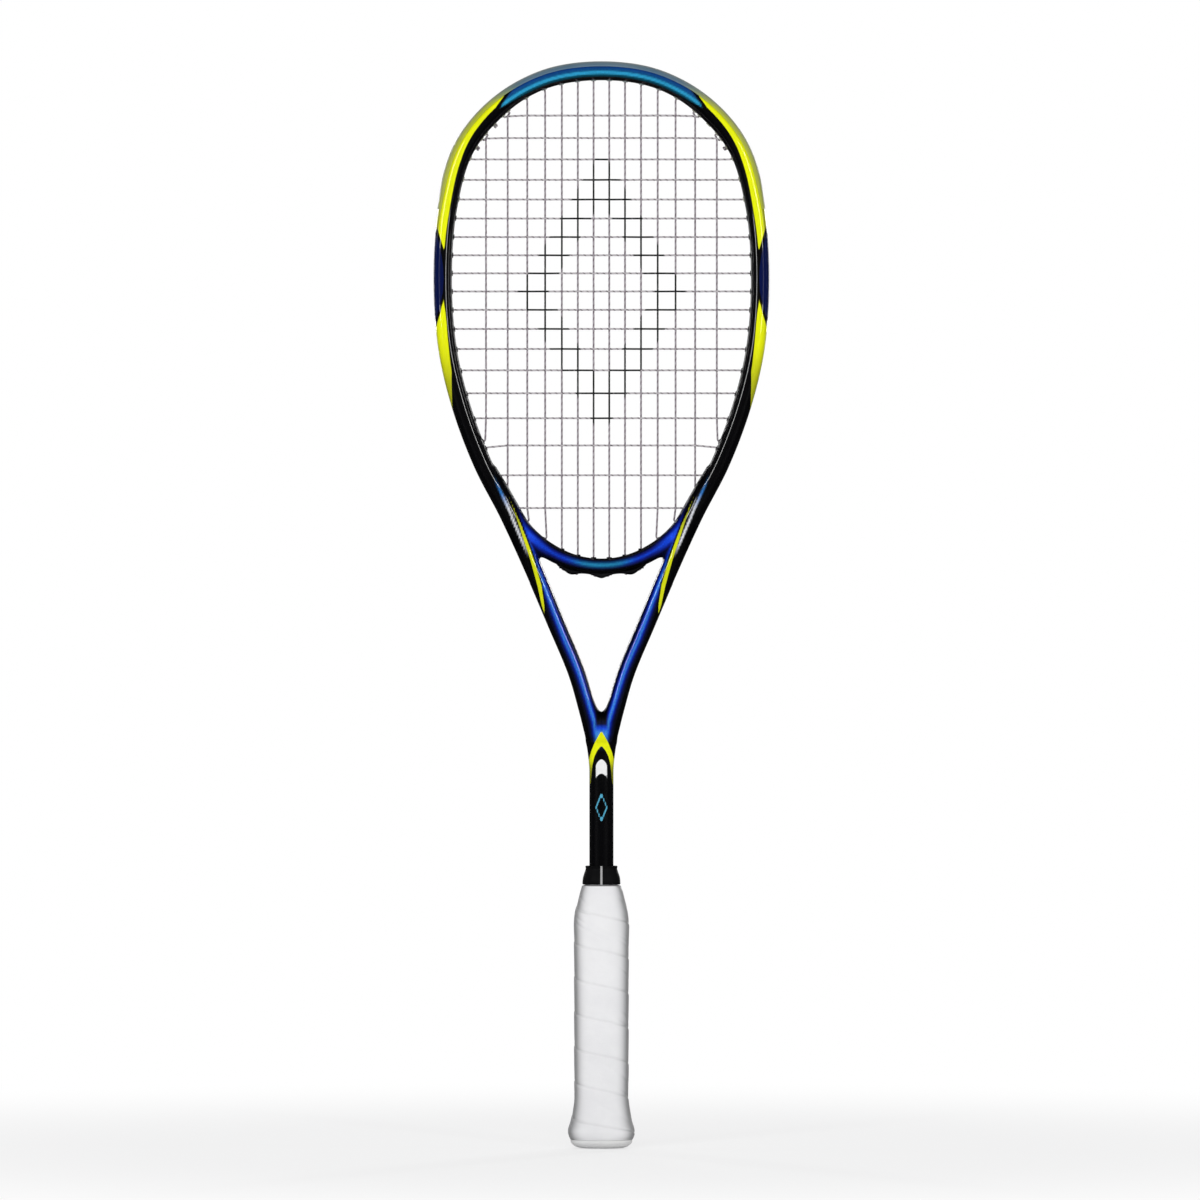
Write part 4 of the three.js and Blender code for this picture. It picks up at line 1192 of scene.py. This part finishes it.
def stencilShare(r, spot):
    # Ink in the outline of a plain lozenge, worn away in places
    x, _y, z = r.axes(spot)
    across = r.sum("DIVIDE", r.sum("ABSOLUTE", x), stencil["halfWidth"] * mm)
    upward = r.sum("ABSOLUTE", r.sum("SUBTRACT", z, stencil["height"] * mm))
    upward = r.sum("DIVIDE", upward, stencil["halfHeight"] * mm)
    spread = r.sum("ADD", across, upward)
    inner = r.between(spread, stencil["inside"], stencil["inside"] + stencil["soft"])
    ring = r.sum("MULTIPLY", r.between(spread, 1.0, 1.0 - stencil["soft"]), inner)
    worn = r.between(r.noise(spot, 700, 3, 0.6), 0.25, 0.4)
    return r.sum("MULTIPLY", ring, worn)


def gutFinish(name, light, dark, low, high):
    # Twisted fibres: a darker stripe winds round a pale string
    r = newFinish(name, Roughness=0.34, Specular_IOR_Level=0.45, Coat_Weight=0.3, Coat_Roughness=0.2)
    turn = r.sum("MULTIPLY", r.attribute("along"), 2 * math.pi / (gut["stripe"] * mm))
    x, z = r.axes(r.attribute("around", "Vector"))[:2]
    wave = r.sum("MULTIPLY", r.sum("COSINE", turn), x)
    wave = r.sum("ADD", wave, r.sum("MULTIPLY", r.sum("SINE", turn), z))
    spot = r.spot()
    fibre = r.noise(r.stretch(spot, (3, 3, 1)), 1500, 2)
    pale = r.mottle(fibre, light, [c * 1.12 for c in light])
    shade = r.blend(r.between(wave, low, high), pale, (*dark, 1))
    shade = r.blend(stencilShare(r, spot), shade, (0.006, 0.006, 0.007, 1))
    r.give("Base Color", shade)
    r.give("Roughness", r.between(fibre, 0.3, 0.7, 0.28, 0.42))
    r.give("Normal", r.bump(wave, 0.2, 0.0001))
    return r.finish


def roundedCorners(points, radius):
    # Corners of a path eased into short bends
    eased = [points[0]]
    steps = (0, 0.25, 0.5, 0.75, 1)
    for before, here, after in zip(points, points[1:], points[2:]):
        back, ahead = before - here, after - here
        backLength, aheadLength = np.linalg.norm(back), np.linalg.norm(ahead)
        if backLength < 1e-6 or aheadLength < 1e-6:
            continue
        back, ahead = back / backLength, ahead / aheadLength
        if back @ ahead < gut["straight"]:
            eased.append(here)
            continue
        near = min(radius, backLength * gut["share"], aheadLength * gut["share"])
        start, end = here + back * near, here + ahead * near
        eased += [(1 - t) ** 2 * start + 2 * t * (1 - t) * here + t**2 * end for t in steps]
    return [*eased, points[-1]]


def outsideLoop(start, end, lane):
    if start["s"] is None:
        return [start["outer"], end["outer"]]
    lead = math.copysign(hole["lead"], end["s"] - start["s"])
    first, last = start["s"] + lead, end["s"] - lead
    steps = max(1, math.ceil(abs(last - first) / gut["loopStep"]))
    places = np.linspace(first, last, steps + 1)
    along = [flip(besideHead(s, hole["loop"], lane), start["side"]) for s in places]
    return [start["outer"], *along, end["outer"]]


def stringTail(start, tie, side, lane):
    ends = holeEnds(tie, side)
    return [*outsideLoop(start, ends, lane), ends["inner"]]


def wovenSide(i, j):
    return 1 if (i + j) % 2 == 0 else -1


def waved(points):
    # Between crossings the string swings from one face of the bed to the other
    line = [points[0]]
    for a, b in zip(points, points[1:]):
        for t in np.linspace(0, 1, gut["stepsPerCross"] + 1)[1:]:
            swing = (1 - math.cos(math.pi * t)) / 2
            point = a + (b - a) * t
            point[1] = a[1] + (b[1] - a[1]) * swing
            line.append(point)
    return line


mains = range(2 * perSide)
mainSide = [-1 if i < perSide else 1 for i in mains]
mainRank = [perSide - 1 - i if i < perSide else i - perSide for i in mains]
runEnds = [(holeEnds(f"top{k}", side), lowEnds(k, side)) for k, side in zip(mainRank, mainSide)]


def crossing(i, j, depth):
    top, low = runEnds[i]
    z = crossZ(j)
    if z > top["inner"][2] + 1 or z < low["inner"][2] + hole["margin"]:
        return []
    z = min(z, top["inner"][2] - hole["margin"])
    return [np.array([mainSide[i] * mainX(mainRank[i]), depth * wovenSide(i, j), z])]


def mainPath():
    points = stringTail(runEnds[0][0], "mainTie", -1, -hole["lane"])[::-1]
    for i, (top, low) in enumerate(runEnds):
        downwards = i % 2 == 0
        between = [p for j in range(crosses) for p in crossing(i, j, stringing["weave"])]
        run = waved([top["inner"], *between, low["inner"]])
        points += run if downwards else run[::-1]
        if i + 1 < len(runEnds):
            which = 1 if downwards else 0
            points += outsideLoop(runEnds[i][which], runEnds[i + 1][which], -hole["lane"])
    return points + stringTail(runEnds[-1][0], "mainTie", 1, -hole["lane"])


def crossPath():
    ends = [(holeEnds(f"cross{j}", -1), holeEnds(f"cross{j}", 1)) for j in range(crosses)]
    points = stringTail(ends[0][0], "upperCrossTie", -1, hole["lane"])[::-1]
    for j, (left, right) in enumerate(ends):
        rightwards = j % 2 == 0
        between = [p for i in mains for p in crossing(i, j, -stringing["weave"])]
        run = waved([left["inner"], *between, right["inner"]])
        points += run if rightwards else run[::-1]
        if j + 1 < crosses:
            which = 1 if rightwards else 0
            points += outsideLoop(ends[j][which], ends[j + 1][which], hole["lane"])
    return points + stringTail(ends[-1][1], "lowerCrossTie", 1, hole["lane"])


def knotPath(tie, side):
    # An overhand knot drawn up against the inside of the head
    ends = holeEnds(tie, side)
    inward = ends["inner"] - ends["outer"]
    inward /= np.linalg.norm(inward)
    across = np.cross(inward, [0, 1, 0])
    centre = ends["inner"] + inward * knot["rise"]
    path = []
    for t in np.linspace(0, 2 * math.pi, knot["steps"], endpoint=False):
        u, v, w = math.sin(t) + 2 * math.sin(2 * t), math.cos(t) - 2 * math.cos(2 * t), -math.sin(3 * t)
        flat = (across * u + np.array([0, 1, 0]) * v) * knot["size"]
        path.append(centre + flat + inward * w * knot["length"])
    return [*path, path[0]]


strings = stringTree()
mainGut = gutFinish("mainGut", (0.34, 0.305, 0.335), (0.20, 0.16, 0.19), 0.1, 0.6)
crossGut = gutFinish("crossGut", (0.50, 0.47, 0.49), (0.13, 0.10, 0.12), 0.62, 0.85)


def buildString(name, path, node, coat, radius=stringing["radius"]):
    least = gut["leastStep"]
    path = [p for k, p in enumerate(path) if k == 0 or np.linalg.norm(p - path[k - 1]) > least]
    thing = meshFrom(name, path, [], [(k, k + 1) for k in range(len(path) - 1)])
    grown(thing, strings, Radius=radius * mm, Sides=gut["sides"], Finish=coat)
    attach(thing, "root")
    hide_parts(node)


buildString("mains", roundedCorners(mainPath(), gut["corner"]), "main_string", mainGut)
buildString("crosses", roundedCorners(crossPath(), gut["corner"]), "cross_string", crossGut)
buildString("left_main_tie", knotPath("mainTie", -1), "left_main_knot", mainGut, knot["radius"])
buildString("right_main_tie", knotPath("mainTie", 1), "right_main_knot", mainGut, knot["radius"])
buildString("upper_cross_tie", knotPath("upperCrossTie", -1), "upper_cross_knot", crossGut, knot["radius"])
buildString("lower_cross_tie", knotPath("lowerCrossTie", 1), "lower_cross_knot", crossGut, knot["radius"])

print("handle")

handle = dict(flatness=0.9, power=2.5, sides=128, turnedSides=96, sharp=35)
wrap = dict(pitch=22.0, shift=12.6, step=0.32, seam=1.5, groove=0.16, grooveWidth=0.7, rows=420,
            crease=0.16, creaseLean=9, seed=7, foot=1.5, footOver=6, top=166, topOver=5, topShare=0.15,
            sunk=0.8, sharp=50, noSeam=9.0, seamFade=4, seamShade=1.3)
creaseBands = [
    dict(count=16, heights=(118, 160), lengths=(0.3, 1.0), widths=(0.8, 1.6)),
    dict(count=14, heights=(8, 120), lengths=(0.3, 0.9), widths=(0.8, 1.8)),
]
# Outlines round the handle's axis: radius and height
gripOuter = [(19.9, 5.4), (20.75, 7.6), (21.2, 11), (19.4, 17.4), (18.2, 23.7), (17.3, 30), (17.3, 50),
             (17.3, 90), (17.4, 130), (17.5, 142.5), (16.6, 149.8), (14.9, 156.4), (12.5, 165.4)]
gripTop = [(10.3, 166), (10.3, 169), (9.1, 169), (9.1, 163.2)]
gripInner = [(10.5, 163), (12.3, 158.6), (14.2, 150.7), (15.75, 143.2), (15.75, 27.5), (16.75, 27.2),
             (16.85, 24), (17.7, 18), (19.5, 11.6), (19.6, 8.1), (19.1, 5.5)]
capProfile = [(0.01, 0), (6, 0), (12.4, 0.02), (14.6, 0.3), (16.6, 0.95), (18.2, 2.0), (19.25, 3.3),
              (19.6, 4.5), (19.45, 5.2), (18.95, 5.5), (18.9, 6.4), (19.2, 8.2), (19.1, 11.5), (17.3, 18),
              (16.4, 24), (16.3, 27), (15.7, 27), (15.7, 4), (0.01, 4)]
collarProfile = [(11.5, 166.3), (11.8, 166.3), (12.0, 166.6), (11.95, 168.6), (11.7, 170.6), (11.1, 172.6),
                 (10.4, 174.6), (9.95, 176.0), (9.95, 176.8), (10.15, 177.2), (10.1, 177.75), (9.8, 178),
                 (8.3, 178), (8.0, 177.8), (8.0, 171.4), (11.35, 171.15), (11.5, 168.5)]


def handleRing(radius, z, sides):
    angles = np.linspace(0, 2 * math.pi, sides, endpoint=False)
    c, s = np.cos(angles), np.sin(angles)
    reach = radius * (np.abs(c) ** handle["power"] + np.abs(s) ** handle["power"]) ** (-1 / handle["power"])
    return np.stack([c * reach, s * reach * handle["flatness"], np.broadcast_to(z, angles.shape)], axis=1)


def lathed(name, profile):
    # A profile that comes back to its start, turned round the handle's axis
    rings = [handleRing(radius, z, handle["turnedSides"]) for radius, z in [*profile, profile[0]]]
    return outwardFaces(skin(name, rings, False), handle["sharp"])


def wrapHeight(angles, z):
    # The tape's thickness over the handle: each turn climbs a little and drops at its seam
    turn = (z + wrap["shift"]) / wrap["pitch"] + angles / (2 * math.pi)
    share = turn - np.floor(turn)
    seam = np.minimum(share, 1 - share) * wrap["pitch"]
    climb = share * wrap["step"]
    drop = np.where(share > 0.5, np.clip((1 - share) * wrap["pitch"] / wrap["seam"], 0, 1), 1)
    lip = climb * (drop * drop * (3 - 2 * drop))
    return lip - wrap["groove"] * np.exp(-((seam / wrap["grooveWidth"]) ** 2)), seam


def drawCreases():
    rng = np.random.default_rng(wrap["seed"])
    return [(rng.uniform(0, 2 * math.pi), rng.uniform(*some["heights"]), rng.uniform(*some["lengths"]),
             rng.uniform(*some["widths"])) for some in creaseBands for _ in range(some["count"])]


def buildGrip():
    outer = smoothLine(gripOuter, 40)
    far = np.concatenate([[0], np.cumsum(np.linalg.norm(np.diff(outer, axis=0), axis=1))])
    stops = np.linspace(0, far[-1], wrap["rows"])
    angles = np.linspace(0, 2 * math.pi, handle["sides"], endpoint=False)
    creases = drawCreases()
    rings, seams = [], []
    for s in stops:
        radius, z = np.interp(s, far, outer[:, 0]), np.interp(s, far, outer[:, 1])
        height, seam = wrapHeight(angles, z)
        fade = min(1, (z - wrap["foot"]) / wrap["footOver"])
        fade *= min(1, (wrap["top"] - z) / wrap["topOver"] + wrap["topShare"])
        for where, level, length, wide in creases:
            away = np.angle(np.exp(1j * (angles - where)))
            line = level - away * wrap["creaseLean"]
            height = height - wrap["crease"] * np.exp(-((away / length) ** 2) - ((z - line) / wide) ** 2)
        swell = radius - wrap["step"] * wrap["sunk"] + height * fade
        ring = handleRing(1.0, z, handle["sides"])
        ring[:, :2] *= swell[:, None]
        rings.append(ring)
        seams.append(seam + (1 - fade) * wrap["seamFade"])
    inside = [handleRing(radius, z, handle["sides"]) for radius, z in [*gripTop, *gripInner]]
    rings += [*inside, rings[0]]
    seams += [np.full(handle["sides"], wrap["noSeam"])] * len(inside) + [seams[0]]
    thing = skin("grip_wrap", rings, False)
    made = thing.data.attributes.new("seam", "FLOAT", "POINT")
    made.data.foreach_set("value", np.concatenate(seams).astype(np.float32))
    outwardFaces(thing, wrap["sharp"])
    thing.data.materials.append(gripFinish())
    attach(thing, "root")
    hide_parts("grip")


def gripFinish():
    r = newFinish("gripWhite", Roughness=0.62, Specular_IOR_Level=0.35,
                  Sheen_Weight=0.15, Sheen_Roughness=0.5)
    spot = r.spot()
    seam = r.attribute("seam")
    cloud = r.noise(spot, 45, 4, 0.55)
    shade = r.mottle(cloud, (0.87, 0.87, 0.885), (0.92, 0.92, 0.93))
    # Painted shade: the wrap is darkened where it turns away towards its sides
    shadeByFacing = r.node("ShaderNodeLayerWeight", {"Blend": 0.5}).outputs["Facing"]
    shade = r.blend(r.between(shadeByFacing, 0.05, 0.7, 0.0, 0.8), shade, (0.15, 0.15, 0.155, 1))
    shade = r.blend(r.between(seam, wrap["seamShade"], 0.0, 0.0, 0.13), shade, (0.52, 0.52, 0.53, 1))
    r.give("Base Color", shade)
    grain = r.cells(spot, 1500)
    fine = r.noise(spot, 3200, 2)
    r.give("Roughness", r.between(cloud, 0.3, 0.7, 0.55, 0.7))
    first = r.bump(grain, 0.12, 0.0003)
    second = r.bump(fine, 0.08, 0.0002, first)
    r.give("Normal", r.bump(r.noise(r.stretch(spot, (1, 1, 2.4)), 110, 3), 0.2, 0.0008, second))
    return r.finish


def capFinish():
    r = newFinish("capWhite", Roughness=0.5, Specular_IOR_Level=0.4)
    spot = r.spot()
    cloud = r.noise(spot, 60, 3)
    r.give("Base Color", r.mottle(cloud, (0.80, 0.80, 0.80), (0.86, 0.86, 0.85)))
    r.give("Normal", r.bump(r.noise(spot, 1800, 3), 0.15, 0.0002))
    r.give("Roughness", r.between(r.noise(spot, 300, 3), 0.3, 0.7, 0.42, 0.6))
    return r.finish


def collarFinish():
    r = newFinish("collarRubber", Roughness=0.6, Specular_IOR_Level=0.12)
    spot = r.spot()
    cloud = r.noise(spot, 120, 3)
    x, y, _z = r.axes(spot)
    shade = r.mottle(cloud, (0.002, 0.002, 0.0025), (0.005, 0.005, 0.0055))
    line = r.sum("MULTIPLY", r.between(r.sum("ABSOLUTE", x), 0.0008, 0.0005), r.between(y, 0.0, -0.001))
    r.give("Base Color", r.blend(line, shade, (0.42, 0.42, 0.42, 1)))
    r.give("Roughness", r.between(cloud, 0.3, 0.7, 0.48, 0.66))
    r.give("Normal", r.bump(r.noise(spot, 1600, 3), 0.25, 0.0003))
    return r.finish


def foamFinish():
    r = newFinish("palletFoam", Roughness=0.85, Specular_IOR_Level=0.2)
    spot = r.spot()
    pores = r.cells(spot, 900)
    r.give("Base Color", r.mottle(pores, (0.42, 0.34, 0.19), (0.58, 0.50, 0.32), 0.1, 0.6))
    r.give("Normal", r.bump(pores, 0.4, 0.0006))
    return r.finish


def tapeFinish():
    r = newFinish("finishTape", Roughness=0.6, Specular_IOR_Level=0.3)
    spot = r.spot()
    weave = r.noise(r.stretch(spot, (1, 1, 6)), 900, 2)
    r.give("Base Color", r.mottle(weave, (0.70, 0.70, 0.70), (0.82, 0.82, 0.82), 0.35, 0.65))
    r.give("Normal", r.bump(weave, 0.25, 0.0002))
    return r.finish


def recoat(node, finish):
    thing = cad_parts[node]
    if not thing.material_slots:
        thing.data.materials.append(finish)
    for slot in thing.material_slots:
        slot.material = finish


buildGrip()
cap = lathed("butt_end", capProfile)
cap.data.materials.append(capFinish())
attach(cap, "root")
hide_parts("butt_cap")
collar = lathed("rubber_collar", collarProfile)
collar.data.materials.append(collarFinish())
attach(collar, "root")
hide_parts("grip_collar")
foam = foamFinish()
recoat("front_handle_pallet", foam)
recoat("rear_handle_pallet", foam)
recoat("finishing_tape", tapeFinish())

print("done")
